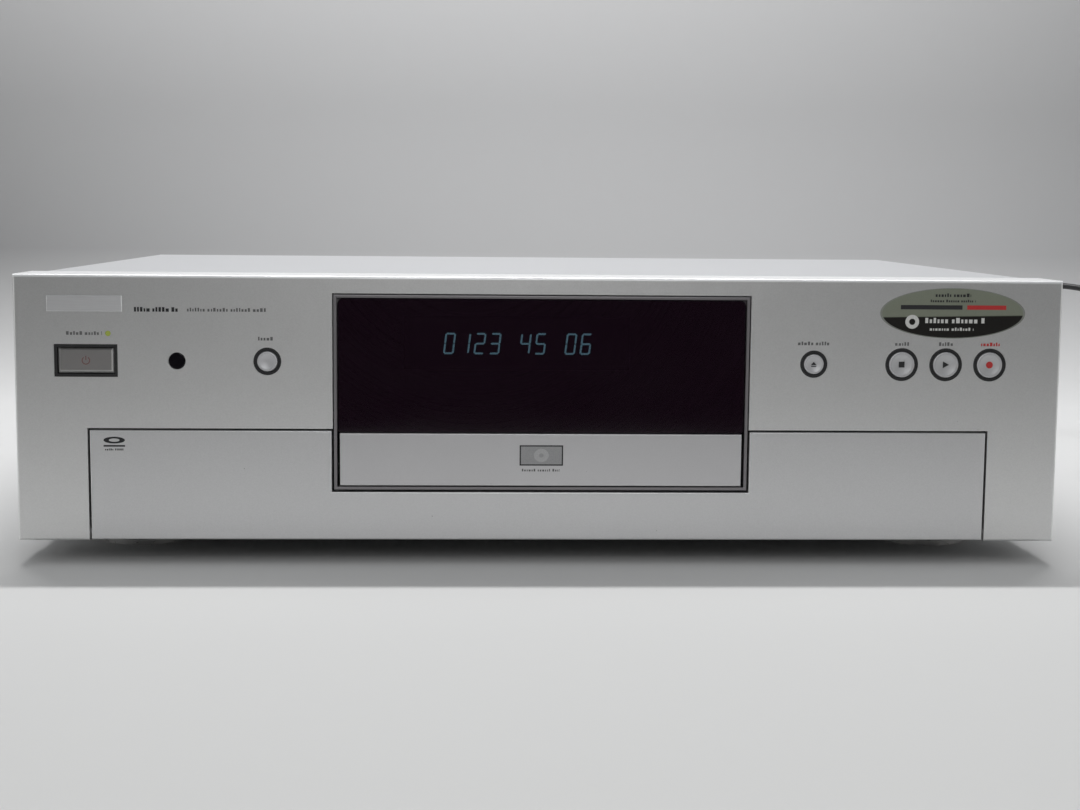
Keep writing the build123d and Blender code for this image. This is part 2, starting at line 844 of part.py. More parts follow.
def display_board():
    board = block(-board_half, board_half, board_y, board_y + board_t, board_z0, board_z1)
    end = key_depth + key_flange_t + plunger_len
    for x in [standby_x] + [x for x, _ in round_keys()]:
        board += switch(x, key_z, board_y, end)
    return board


def display_tube():
    tube = block(*around(tube_x, tube_w, 0), board_y - tube_depth, board_y, *around(tube_z, tube_h, 0))
    return fillet(edges_at(tube, Axis.Y, board_y - tube_depth), tube_round)


# Small pieces on the front

def infrared_window():
    lens = rod_along_y(infrared_x, key_z, infrared_r, infrared_set_back, infrared_len)
    return fillet(edges_at(lens, Axis.Y, infrared_set_back), infrared_round)


def standby_lamp():
    lamp = rod_along_y(lamp_x, lamp_z, lamp_r, -lamp_proud, lamp_len)
    return fillet(edges_at(lamp, Axis.Y, -lamp_proud), lamp_round)


def oval_label():
    place = Plane((label_x, 0, label_z), x_dir=(1, 0, 0), z_dir=(0, -1, 0))
    return extrude(place * Ellipse(label_w / 2, label_h / 2), label_t)


def name_plate():
    plate = block(*around(plate_x, plate_w, 0), -plate_proud, 0, *around(plate_z, plate_h, 0))
    return chamfer(edges_at(plate, Axis.Y, -plate_proud), plate_bevel)


# Front and rear sockets

def front_av_sockets():
    y0 = socket_wall_y + socket_wall_t
    half = socket_block_h / 2
    x0 = front_socket_place(0) - half
    x1 = front_socket_place(3) + half
    sockets = block(x0, x1, y0, y0 + socket_block_depth, *around(front_socket_z, socket_block_h, 0))
    for i in range(3):
        x = front_socket_place(i)
        sockets += rod_along_y(x, front_socket_z, socket_r, y0 - socket_reach, y0)
        sockets -= rod_along_y(x, front_socket_z, socket_bore_r, y0 - socket_reach, y0)
    x = front_socket_place(3)
    front = socket_wall_y - socket_ring_proud
    sockets += rod_along_y(x, front_socket_z, socket_ring_r, front, y0)
    sockets -= rod_along_y(x, front_socket_z, socket_ring_bore_r, front, front + socket_ring_depth)
    return sockets


def scart_levels():
    first = board_top + scart_h / 2
    return [first, first + scart_h + scart_gap]


def scart_sockets():
    low, high = scart_levels()
    y0, y1 = rear_inner - scart_depth, rear_face + scart_proud
    sockets = block(
        *around(scart_x, scart_w, 0), y0, rear_inner, low - scart_h / 2, high + scart_h / 2
    )
    for z in (low, high):
        sockets += block(*around(scart_x, scart_w, 0), rear_inner, y1, *around(z, scart_h, 0))
        sockets -= block(
            *around(scart_x, scart_hole_w, 0), y1 - scart_hole_depth, y1, *around(z, scart_hole_h, 0)
        )
        sockets += block(
            *around(scart_x, tongue_w, 0), y1 - scart_hole_depth, y1 - tongue_set_back,
            *around(z - tongue_drop, tongue_t, 0),
        )
    return sockets


def rear_phonos():
    first_z = board_top + rear_phono_low + rear_phono_pitch / 2
    return [
        (rear_phono_x + i * rear_phono_pitch, first_z + j * rear_phono_pitch)
        for i in range(rear_phono_columns)
        for j in range(rear_phono_rows)
    ]


def rear_av_sockets():
    places = rear_phonos()
    reach = rear_phono_pitch / 2
    x0 = min(x for x, _ in places) - reach
    x1 = max(x for x, _ in places) + reach
    z1 = max(z for _, z in places) + reach
    sockets = block(x0, x1, rear_inner - rear_phono_depth, rear_inner, board_top, z1)
    for x, z in places:
        sockets += rod_along_y(x, z, socket_r, rear_inner, rear_face + socket_reach)
        sockets -= rod_along_y(x, z, socket_bore_r, rear_inner, rear_face + socket_reach)
    return sockets


def aerials():
    z = board_top + tuner_h / 2
    return [(tuner_x, z - aerial_pitch / 2), (tuner_x, z + aerial_pitch / 2)]


def aerial_sockets():
    y0 = rear_inner - tuner_depth
    can = block(*around(tuner_x, tuner_w, 0), y0, rear_inner, board_top, board_top + tuner_h)
    for x, z in aerials():
        can += rod_along_y(x, z, aerial_r, rear_inner, rear_face + aerial_reach)
        can -= rod_along_y(x, z, aerial_bore_r, rear_inner, rear_face + aerial_reach)
    return can


def mains_inlet():
    y0, y1 = rear_face + inlet_proud - inlet_depth, rear_face + inlet_proud
    inlet = block(*around(inlet_x, inlet_w, 0), y0, y1, *around(inlet_z, inlet_h, 0))
    inlet += block(
        *around(inlet_x, inlet_flange_w, 0), rear_inner - inlet_flange_t, rear_inner,
        *around(inlet_z, inlet_flange_h, 0),
    )
    return inlet - stadium_along_y(
        inlet_x, inlet_z, inlet_hole_w, inlet_hole_h, y1 - inlet_hole_depth, y1
    )


# Fan

def fan_housing():
    y0, y1 = rear_inner - fan_depth, rear_inner
    housing = block(*around(fan_x, fan_size, 0), y0, y1, *around(fan_z, fan_size, 0))
    housing -= rod_along_y(fan_x, fan_z, fan_bore_r, y0, y1)
    for angle in (0, 90, 180, 270):
        arm = block(0, fan_bore_r + 1, y1 - fan_bar_t, y1, -fan_bar_w / 2, fan_bar_w / 2)
        housing += Pos(fan_x, 0, fan_z) * Rot(0, angle, 0) * arm
    housing += rod_along_y(fan_x, fan_z, fan_hub_r, y1 - fan_hub_t, y1)
    return housing - rod_along_y(fan_x, fan_z, fan_shaft_r + shaft_play, y1 - fan_hub_t, y1)


def fan_rotor():
    y0 = rear_inner - fan_depth + fan_front_gap
    y1 = rear_inner - fan_hub_t - fan_rear_gap
    rotor = rod_along_y(fan_x, fan_z, fan_hub_r, y0, y1)
    rotor += rod_along_y(fan_x, fan_z, fan_shaft_r, y1, rear_inner - fan_rear_gap)
    root, tip = fan_hub_r - 1, fan_bore_r - fan_blade_play
    for i in range(fan_blades):
        blade = block(root, tip, -fan_blade_chord / 2, fan_blade_chord / 2, -fan_blade_t / 2, fan_blade_t / 2)
        blade = Rot(0, i * 360 / fan_blades, 0) * Rot(fan_blade_pitch, 0, 0) * blade
        rotor += Pos(fan_x, (y0 + y1) / 2, fan_z) * blade
    return rotor


# Boards and power supply

def power_board():
    return block(power_x0, power_x1, board_front_y, power_y1, board_level, board_top)


def power_transformer():
    x, y = (power_x0 + power_x1) / 2, board_front_y + power_depth * transformer_along
    top = board_top + transformer_h
    core = block(*around(x, transformer_w, 0), *around(y, transformer_depth, 0), board_top, top)
    for slot_y in (y - winding_pitch / 2, y + winding_pitch / 2):
        core -= block(
            *around(x, winding_w, 0), *around(slot_y, winding_slot, 0), top - winding_slot, top
        )
    return core


def bulk_capacitor():
    x = power_x1 - capacitor_inset - capacitor_r
    y = board_front_y + power_depth * capacitor_along
    top = board_top + capacitor_h
    can = rod_along_z(x, y, capacitor_r, board_top, top)
    return fillet(edges_at(can, Axis.Z, top), capacitor_round)


def heat_sink():
    x, y = power_x0 + sink_inset, board_front_y + power_depth * sink_along
    top = board_top + sink_h
    sink = block(x, x + sink_base_t, *around(y, fin_len, 0), board_top, top)
    for i in range(fin_count):
        y0 = y - fin_len / 2 + fin_pitch * (i + 1)
        sink += block(x, x + sink_base_t + fin_reach, y0, y0 + fin_t, board_top, top)
    return sink


def main_board():
    board = block(main_x0, main_x1, board_front_y, main_y1, board_level, board_top)
    return board + block(main_x1, wing_x1, wing_y0, main_y1, board_level, board_top)


# Disc drive

def loader_chassis():
    z0, z1 = drive_z0, drive_z0 + drive_h
    half, wall = drive_half, drive_wall
    chassis = block(-half, half, drive_front_y, drive_y1, z0, z1)
    chassis -= block(-half + wall, half - wall, drive_front_y + wall, drive_y1 - wall, z0 + wall, z1)
    chassis -= block(-half + wall, half - wall, drive_front_y, drive_front_y + wall, z0 + drive_sill, z1)
    rail_x = tray_w / 2 - tray_lip
    low = tray_z0 - tray_play
    high = tray_z1 + tray_play
    for side in (-1, 1):
        x0, x1 = sorted((side * rail_x, side * (half - wall)))
        chassis += block(x0, x1, drive_front_y, drive_y1 - wall, low - rail_t, low)
        x0, x1 = sorted((side * (rail_x + rail_step), side * (half - wall)))
        chassis += block(x0, x1, drive_front_y, drive_y1 - wall, high, high + rail_t)
        x0, x1 = sorted((side * deck_block_in, side * (deck_block_in + deck_block_w)))
        top = deck_mid_z + deck_block_rise
        bearing = block(x0, x1, *around(deck_pivot_y, deck_block_depth, 0), z0 + wall, top)
        chassis += bearing - rod_along_x(deck_pivot_y, deck_mid_z, deck_pin_r + pin_play, x0, x1)
    for x in (-half + drive_foot_inset, half - drive_foot_inset):
        for y in (drive_front_y + drive_foot_inset, drive_y1 - drive_foot_inset):
            chassis += rod_along_z(x, y, drive_foot_r, base_top, z0)
    return chassis


def disc_tray():
    half = tray_w / 2
    y1 = tray_y0 + tray_len
    tray = block(-half, half, tray_y0, y1, tray_z0, tray_z1)
    tray -= rod_along_z(0, disc_y, recess_r, tray_z1 - recess_depth, tray_z1)
    floor = tray_z1 - recess_depth - small_recess_depth
    tray -= rod_along_z(0, disc_y, small_recess_r, floor, tray_z1)
    tray -= block(-slot_w / 2, slot_w / 2, disc_y, y1, tray_z0, tray_z1)
    tray -= rod_along_z(0, disc_y, slot_w / 2, tray_z0, tray_z1)
    x0, x1 = around(rack_x, rack_w, 0)
    pitch = pi * rack_module
    first = -int((pinion_y - tray_y0 - rack_end_gap) / pitch)
    last = int((y1 - pinion_y - rack_end_gap) / pitch)
    return tray + [rack_tooth(pinion_y + (k + 0.5) * pitch, x0, x1) for k in range(first, last)]


def rack_tooth(y, x0, x1):
    top, tip = tray_z0, tray_z0 - tooth_dedendum - tooth_addendum
    outline = Plane((x0, y, 0), x_dir=(0, 1, 0), z_dir=(1, 0, 0)) * tooth_outline(top, tip, tooth_sunk)
    return extrude(outline, x1 - x0)


def tooth_outline(root, tip, sunk):
    """A tooth from its root to its tip, which starts a little way inside what it stands on."""
    half_root, half_tip = tooth_root_w / 2, tooth_tip_w / 2
    return make_face(Polyline(
        (-half_root, root + sunk), (-half_root, root), (-half_tip, tip), (half_tip, tip),
        (half_root, root), (half_root, root + sunk), (-half_root, root + sunk),
    ))


def loading_pinion():
    x0, x1 = around(rack_x, rack_w, 0)
    root_r, tip_r = pitch_r - tooth_dedendum, pitch_r + tooth_addendum
    gear = rod_along_x(0, 0, root_r, x0, x1)
    plane = Plane((x0, 0, 0), x_dir=(0, 1, 0), z_dir=(1, 0, 0))
    tooth = extrude(plane * tooth_outline(root_r, tip_r, -tooth_sunk), x1 - x0)
    gear += [Rot(i * 360 / pinion_teeth, 0, 0) * tooth for i in range(pinion_teeth)]
    gear += rod_along_x(0, 0, shaft_r, x1, x1 + gearbox_side_gap + gearbox_w - pinion_shaft_end)
    return Pos(0, pinion_y, pinion_z) * gear


def loading_motor():
    x0 = rack_x + rack_w / 2 + gearbox_side_gap
    x1 = x0 + gearbox_w
    floor = drive_z0 + drive_wall
    box = block(x0, x1, *around(pinion_y, gearbox_depth, 0), floor, tray_z0 - gearbox_drop)
    box += rod_along_x(pinion_y, pinion_z, motor_r, x1, x1 + motor_len)
    return box - rod_along_x(pinion_y, pinion_z, shaft_r + shaft_play, x0, x1 - gearbox_floor)


def clamp_bridge():
    z0 = drive_z0 + drive_h
    bridge = block(-drive_half, drive_half, *around(disc_y, bridge_depth, 0), z0, z0 + bridge_t)
    return bridge - rod_along_z(0, disc_y, puck_r + puck_play, z0, z0 + bridge_t)


def clamp_puck():
    z1 = drive_z0 + drive_h + bridge_t
    puck = rod_along_z(0, disc_y, puck_r, z1 - puck_drop, z1 + puck_play)
    return puck + rod_along_z(0, disc_y, puck_lip_r, z1 + puck_play, z1 + puck_play + puck_lip_t)


def deck():
    half = deck_w / 2
    y0, y1 = disc_y - deck_front, deck_pivot_y
    plate = block(-half, half, y0, y1, deck_z0, deck_z1)
    for side in (-1, 1):
        x0, x1 = sorted((side * (half - deck_pin_root), side * (half + deck_pin_len)))
        plate += rod_along_x(deck_pivot_y, deck_mid_z, deck_pin_r, x0, x1)
    plate += rod_along_z(0, disc_y, motor_boss_r, deck_z1, deck_z1 + motor_boss_h)
    plate -= rod_along_z(0, disc_y, shaft_r + shaft_play, deck_z0 + spindle_floor, deck_z1 + motor_boss_h)
    first, last = rod_ends()
    mounts = [(x, rod_end_w, rod_r + rod_fit) for x in (-rod_x, rod_x)]
    for x, width, bore_r in mounts + [(screw_x, screw_end_w, screw_r + shaft_play)]:
        for y in (first, last):
            plate += block(*around(x, width, 0), y, y + rod_end_depth, deck_z1, rod_z + rod_cap)
        plate -= rod_along_y(x, rod_z, bore_r, first + rod_end_wall, last + rod_end_depth - rod_end_wall)
    return plate


def rod_ends():
    """Where the front and the rear rod mounts start."""
    first = disc_y + rod_first
    return first - rod_end_depth, first + rod_len


def turntable():
    z0 = deck_z1 + motor_boss_h + turntable_gap
    table = rod_along_z(0, disc_y, turntable_r, z0, z0 + turntable_t)
    table += rod_along_z(0, disc_y, hub_r, z0 + turntable_t, z0 + turntable_t + hub_h)
    table = fillet(edges_at(table, Axis.Z, z0 + turntable_t + hub_h), hub_round)
    return table + rod_along_z(0, disc_y, shaft_r, deck_z0 + spindle_floor + spindle_play, z0)


def pickup_sled():
    y0 = disc_y + sled_first
    y1 = y0 + sled_depth
    z0, z1 = rod_z - sled_t / 2, rod_z + sled_t / 2
    sled = block(-sled_w / 2, sled_w / 2, y0, y1, z0, z1)
    sled += block(-sled_head_w / 2, sled_head_w / 2, y0, y1, z1, z1 + sled_head_h)
    sled += rod_along_z(0, y0 + lens_back, lens_r, z1 + sled_head_h, z1 + sled_head_h + lens_h)
    for x in (-rod_x, rod_x):
        sled -= rod_along_y(x, rod_z, rod_r + rod_play, y0, y1)
    arm_x = screw_x - screw_r - sled_arm_wall
    arm_y = y0 + sled_arm_first
    sled += block(arm_x, -sled_w / 2, arm_y, arm_y + sled_arm_depth, z0, z1)
    return sled - rod_along_y(screw_x, rod_z, screw_r + screw_play, y0, y1)


def rod_in_mounts(x, r):
    first, last = rod_ends()
    end = rod_end_wall + rod_end_play
    return rod_along_y(x, rod_z, r, first + end, last + rod_end_depth - end)


# Mains lead

def mains_connector():
    y0 = rear_face + inlet_proud
    nose = stadium_along_y(
        inlet_x, inlet_z, inlet_hole_w - 2 * nose_play, inlet_hole_h - 2 * nose_play, y0 - nose_len, y0
    )
    grip = block(*around(inlet_x, grip_w, 0), y0, y0 + grip_len, *around(inlet_z, grip_h, 0))
    grip = fillet([e for e in grip.edges() if e.center().Y > y0 + 0.1], grip_round)
    start = Plane((inlet_x, y0 + grip_len, inlet_z), x_dir=(1, 0, 0), z_dir=(0, 1, 0))
    end = Plane(lead_points()[0], x_dir=(1, 0, 0), z_dir=(0, 1, 0))
    relief = loft([start * Circle(relief_r), end * Circle(cord_r + relief_tip_step)])
    return nose + grip + relief


def lead_points():
    return [Vector(set_half + x, rear_face + y, z) for x, y, z in lead_route]


def mains_lead():
    points = lead_points()
    corner_radii = []
    for a, b, c in zip(points, points[1:], points[2:]):
        turn = (b - a).get_angle(c - b)
        shorter = min((b - a).length, (c - b).length)
        corner_radii.append(0.45 * shorter / tan(radians(turn) / 2))
    print("lead radii", [round(r, 1) for r in corner_radii])
    path = FilletPolyline(*points, radius=corner_radii)
    section = Plane(points[0], z_dir=points[1] - points[0]) * Circle(cord_r)
    print("lead length", round(path.length, 1))
    return sweep(section, path=path)


def coil_radius(turn):
    """Radius of the winding after so many turns: steadily in, and steadily out again."""
    pitch = (coil_outer - coil_inner) / coil_turns
    return coil_inner + pitch * abs(turn - coil_turns)


def coil_height(turn):
    rise = min(max((turn - coil_turns) / coil_climb + 0.5, 0), 1)
    return coil_z + layer_step * (1 - cos(pi * rise)) / 2


def coil_point(turn):
    angle = -2 * pi * turn
    r = coil_radius(turn)
    return Vector(coil_x + r * cos(angle), coil_y + r * sin(angle), coil_height(turn))


def coil_heading(turn):
    step = 1e-4
    return (coil_point(turn + step) - coil_point(turn - step)).normalized()


def biarc(a, heading_a, b, heading_b):
    """Two arcs that join a to b and leave and arrive along the given headings."""
    v = b - a
    t = heading_a + heading_b
    square = 2 * (1 - heading_a.dot(heading_b))
    reach = (-v.dot(t) + sqrt(v.dot(t) ** 2 + square * v.dot(v))) / square
    middle = (a + heading_a * reach + b - heading_b * reach) * 0.5
    first = TangentArc(a, middle, tangent=heading_a)
    return [first, TangentArc(middle, b, tangent=first % 1)]


def coil_path():
    quarters = round(8 * coil_turns)
    places = [i / 4 for i in range(quarters + 1)]
    ends = {0: Vector(0, -1, 0), quarters: Vector(0, -1, 0)}
    points = [coil_point(t) for t in places]
    headings = [ends.get(i, coil_heading(t)) for i, t in enumerate(places)]
    edges = [Line(points[0] - headings[0] * coil_tail, points[0])]
    for i in range(quarters):
        edges += biarc(points[i], headings[i], points[i + 1], headings[i + 1])
    edges.append(Line(points[-1], points[-1] + headings[-1] * coil_tail))
    return Wire(edges)


def least_gap(path, skip):
    """Least distance between the surfaces of stretches of the tube more than skip apart along it."""
    count = int(path.length / 1.5)
    points = [path.position_at(i / count) for i in range(count + 1)]
    apart = int(skip * count / path.length)
    least = min(
        (points[i] - points[j]).length
        for i in range(len(points))
        for j in range(i + apart, len(points))
    )
    return least - 2 * cord_r


def mains_coil():
    path = coil_path()
    print("coil length", round(path.length, 1), "least gap", round(least_gap(path, 6 * cord_r * pi), 3))
    start = path.position_at(0)
    return sweep(Plane(start, z_dir=(0, -1, 0)) * Circle(cord_r), path=path)


def coil_tie():
    crossings = [coil_radius(i + 0.5) for i in range(round(2 * coil_turns))]
    r0 = sqrt((min(crossings) - cord_r) ** 2 - (tie_w / 2) ** 2) - tie_play
    r1 = max(crossings) + cord_r + tie_play
    z0, z1 = coil_lift - tie_play, coil_top_z + cord_r + tie_play
    x0, x1 = coil_x - r1, coil_x - r0
    ring = block(x0 - tie_t, x1 + tie_t, *around(coil_y, tie_w, 0), z0 - tie_t, z1 + tie_t)
    return ring - block(x0, x1, *around(coil_y, tie_w, 0), z0, z1)


def mains_plug():
    end = coil_path().position_at(1)
    y0 = end.Y
    x, z = end.X, end.Z
    start = Plane((x, y0, z), x_dir=(1, 0, 0), z_dir=(0, -1, 0))
    finish = Plane((x, y0 - plug_relief_len, z), x_dir=(1, 0, 0), z_dir=(0, -1, 0))
    relief = loft([start * Circle(cord_r + plug_relief_step), finish * Circle(plug_relief_r)])
    y1 = y0 - plug_relief_len
    body = block(*around(x, plug_w, 0), y1 - plug_len, y1, *around(z, plug_h, 0))
    body = fillet(body.edges().filter_by(Axis.Y), plug_round)
    body = fillet(edges_at(body, Axis.Y, y1), plug_end_round)
    plug = body + relief
    pin_y1 = y1 - plug_len
    for pin_x in around(x, plug_pin_pitch, 0):
        plug += rod_along_y(pin_x, z, plug_pin_r, pin_y1 - plug_pin_len, pin_y1)
    return plug


def build_all():
    parts["front_panel"] = front_panel()
    parts["front_flap"] = front_flap()
    parts["display_frame"] = display_frame()
    parts["display_window"] = display_window()
    parts["tray_front"] = tray_front()
    parts["disc_tray"] = disc_tray()
    parts["standby_button"] = standby_key()
    round_names = ("panel_button", "open_close_button", "stop_button", "play_button", "record_button")
    for name, (x, r) in zip(round_names, round_keys()):
        parts[name] = round_key(x, r)
    parts["key_guide_left"] = left_guide()
    parts["key_guide_right"] = key_guide(round_keys()[1:], guide_margin, guide_margin)
    parts["infrared_window"] = infrared_window()
    parts["standby_lamp"] = standby_lamp()
    parts["oval_label"] = oval_label()
    parts["name_plate"] = name_plate()
    parts["top_cover"] = top_cover()
    parts["base_chassis"] = base_chassis()
    parts["rear_panel"] = rear_panel()
    for row, y in (("front", foot_front_y), ("rear", foot_rear_y)):
        for side, x in (("left", -foot_x), ("right", foot_x)):
            parts[f"foot_{row}_{side}"] = Pos(x, y, 0) * foot()
    parts["socket_panel"] = socket_panel()
    parts["front_av_sockets"] = front_av_sockets()
    for i, x in enumerate(hidden_key_places()):
        parts[f"hidden_key_{i + 1}"] = hidden_key(x)
    parts["hidden_key_board"] = hidden_key_board()
    parts["display_board"] = display_board()
    parts["display_tube"] = display_tube()
    parts["mains_inlet"] = mains_inlet()
    parts["scart_sockets"] = scart_sockets()
    parts["rear_av_sockets"] = rear_av_sockets()
    parts["aerial_sockets"] = aerial_sockets()
    parts["fan_housing"] = fan_housing()
    parts["fan_rotor"] = fan_rotor()
    parts["power_board"] = power_board()
    parts["power_transformer"] = power_transformer()
    parts["heat_sink"] = heat_sink()
    parts["bulk_capacitor"] = bulk_capacitor()
    parts["main_board"] = main_board()
    parts["loader_chassis"] = loader_chassis()
    parts["clamp_bridge"] = clamp_bridge()
    parts["clamp_puck"] = clamp_puck()
    parts["deck"] = deck()
    parts["turntable"] = turntable()
    parts["pickup_sled"] = pickup_sled()
    parts["guide_rod_left"] = rod_in_mounts(-rod_x, rod_r)
    parts["guide_rod_right"] = rod_in_mounts(rod_x, rod_r)
    parts["lead_screw"] = rod_in_mounts(screw_x, screw_r)
    parts["loading_motor"] = loading_motor()
    parts["loading_pinion"] = loading_pinion()
    parts["mains_connector"] = mains_connector()
    parts["mains_lead"] = mains_lead()
    parts["mains_coil"] = mains_coil()
    parts["coil_tie"] = coil_tie()
    parts["mains_plug"] = mains_plug()


def export_all():
    """Move the set so that its origin is below its middle, and write one file for each piece."""
    front = -plate_proud
    back = rear_face + max(socket_reach, aerial_reach)
    centred = Pos(0, -(front + back) / 2, 0)
    print("front face at y", round(-(front + back) / 2, 3))
    os.makedirs("parts", exist_ok=True)
    for name, solid in parts.items():
        export_step(centred * solid, f"parts/{name}.step")


build_all()
export_all()
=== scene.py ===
import math
import random

import bmesh
import bpy
from mathutils import Matrix, Vector


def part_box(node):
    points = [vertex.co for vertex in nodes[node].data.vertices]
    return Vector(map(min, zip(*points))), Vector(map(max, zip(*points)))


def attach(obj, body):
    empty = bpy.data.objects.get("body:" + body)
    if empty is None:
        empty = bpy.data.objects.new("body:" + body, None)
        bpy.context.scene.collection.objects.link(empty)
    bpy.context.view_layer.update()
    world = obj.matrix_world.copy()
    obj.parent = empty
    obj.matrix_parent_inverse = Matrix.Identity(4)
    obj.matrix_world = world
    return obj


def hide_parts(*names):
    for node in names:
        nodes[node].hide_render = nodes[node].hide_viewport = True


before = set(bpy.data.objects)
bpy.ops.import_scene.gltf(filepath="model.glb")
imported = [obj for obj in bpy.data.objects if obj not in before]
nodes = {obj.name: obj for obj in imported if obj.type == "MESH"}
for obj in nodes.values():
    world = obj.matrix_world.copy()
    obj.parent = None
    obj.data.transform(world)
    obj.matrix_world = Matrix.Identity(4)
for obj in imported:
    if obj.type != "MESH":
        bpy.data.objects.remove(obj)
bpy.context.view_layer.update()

panelLow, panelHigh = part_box("front_panel")
print("frame loaded,", len(nodes), "nodes")


# places: millimetres from the middle of the set, behind its front face, above the table

def at(x, y, z):
    return Vector((x / 1000, panelLow.y + y / 1000, z / 1000))


def fromFront(node):
    low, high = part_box(node)
    shift = Vector((0, panelLow.y, 0))
    return (low - shift) * 1000, (high - shift) * 1000


def middleOf(node):
    low, high = fromFront(node)
    return (low + high) / 2


def addObject(name, data):
    made = bpy.data.objects.new(name, data)
    bpy.context.scene.collection.objects.link(made)
    return made


# camera

cameraValues = {
    "place": (-0.029397, -0.871239, 0.148230),
    "turnRight": 0.0399,
    "lookDown": 0.1140,
    "roll": 0.00865,
    "lens": 56.806,
    "sensor": 36.0,
    "nearest": 0.01,
    "farthest": 50.0,
}


def makeCamera(v):
    turn, down, roll = v["turnRight"], v["lookDown"], v["roll"]
    ahead = Vector((math.cos(down) * math.sin(turn), math.cos(down) * math.cos(turn), -math.sin(down)))
    side = Vector((math.cos(turn), -math.sin(turn), 0))
    above = side.cross(ahead)
    right = side * math.cos(roll) + above * math.sin(roll)
    top = above * math.cos(roll) - side * math.sin(roll)
    data = bpy.data.cameras.new("camera")
    data.lens = v["lens"]
    data.sensor_width = v["sensor"]
    data.clip_start = v["nearest"]
    data.clip_end = v["farthest"]
    camera = addObject("camera", data)
    turned = Matrix((right, top, -ahead)).transposed().to_4x4()
    camera.matrix_world = Matrix.Translation(Vector(v["place"])) @ turned
    bpy.context.scene.camera = camera


makeCamera(cameraValues)
print("camera set")


# mains lead: from the connector down to the coil, round the coil and into the plug

cordValues = {
    "diameter": 0.004,
    "length": 1.525,
    # the route's offsets start at the set's right end, its rear face and the table
    "setDepth": 0.324,
    "route": [
        (-0.0275, 0.045, 0.106), (-0.0275, 0.067, 0.106), (-0.0145, 0.101, 0.105), (0.0245, 0.122, 0.1025),
        (0.0755, 0.123, 0.0988), (0.1235, 0.106, 0.1024), (0.1665, 0.078, 0.0996), (0.1965, 0.044, 0.079),
        (0.2065, 0.006, 0.046), (0.1965, -0.024, 0.018), (0.1805, -0.046, 0.0032), (0.1705, -0.066, 0.0029),
        (0.1705, -0.084, 0.0029),
    ],
    "coilCentre": (0.1385, -0.088),
    "coilOuter": 0.032,
    "coilInner": 0.016,
    "coilTurns": 3.5,
    "coilLow": 0.0029,
    # the way back out lies one layer higher, which it reaches within this part of a turn
    "coilLayer": 0.00445,
    "climbTurn": 0.5,
    "pointsPerTurn": 16,
    "tail": 0.005,
    "steps": 12,
    "roundSteps": 5,
}


def leadPoints(v):
    origin = Vector((panelHigh.x, panelLow.y + v["setDepth"], 0))
    points = [origin + Vector(offset) for offset in v["route"]]
    centre = origin + Vector((*v["coilCentre"], 0))
    perTurn, turns = v["pointsPerTurn"], v["coilTurns"]
    # the curve runs inside its control points, so they stand out by this much
    stretch = 1 / (0.75 + 0.25 * math.cos(2 * math.pi / perTurn))
    for k in range(round(2 * turns * perTurn) + 1):
        turn = k / perTurn
        inwards = 1 - abs(turn - turns) / turns
        radius = (v["coilOuter"] - (v["coilOuter"] - v["coilInner"]) * inwards) * stretch
        rise = min(max((turn - turns) / v["climbTurn"] + 0.5, 0), 1)
        height = v["coilLow"] + v["coilLayer"] * (1 - math.cos(math.pi * rise)) / 2
        angle = -2 * math.pi * turn
        points.append(centre + Vector((radius * math.cos(angle), radius * math.sin(angle), height)))
    points.append(Vector((centre.x + v["coilOuter"], centre.y - v["tail"], points[-1].z)))
    return points


def makeLead(v):
    points = leadPoints(v)
    data = bpy.data.curves.new("mains_cord", "CURVE")
    data.dimensions = "3D"
    data.resolution_u = v["steps"]
    data.bevel_depth = 1.0  # times each point's radius, so the curve's box has its true size
    data.bevel_resolution = v["roundSteps"]
    data.use_fill_caps = True
    spline = data.splines.new("NURBS")
    spline.points.add(len(points) - 1)
    for knot, point in zip(spline.points, points):
        knot.co = (*point, 1)
        knot.radius = v["diameter"] / 2
    spline.order_u = 3
    spline.use_endpoint_u = True
    cord = addObject("mains_cord", data)
    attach(cord, "housing")
    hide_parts("mains_lead", "mains_coil")
    return cord


mainsCord = makeLead(cordValues)
print("lead laid")


# node trees: a field wraps a socket, and sums on fields add their nodes

def shade(colour, share):
    return tuple(min(1.0, part * share) for part in colour)


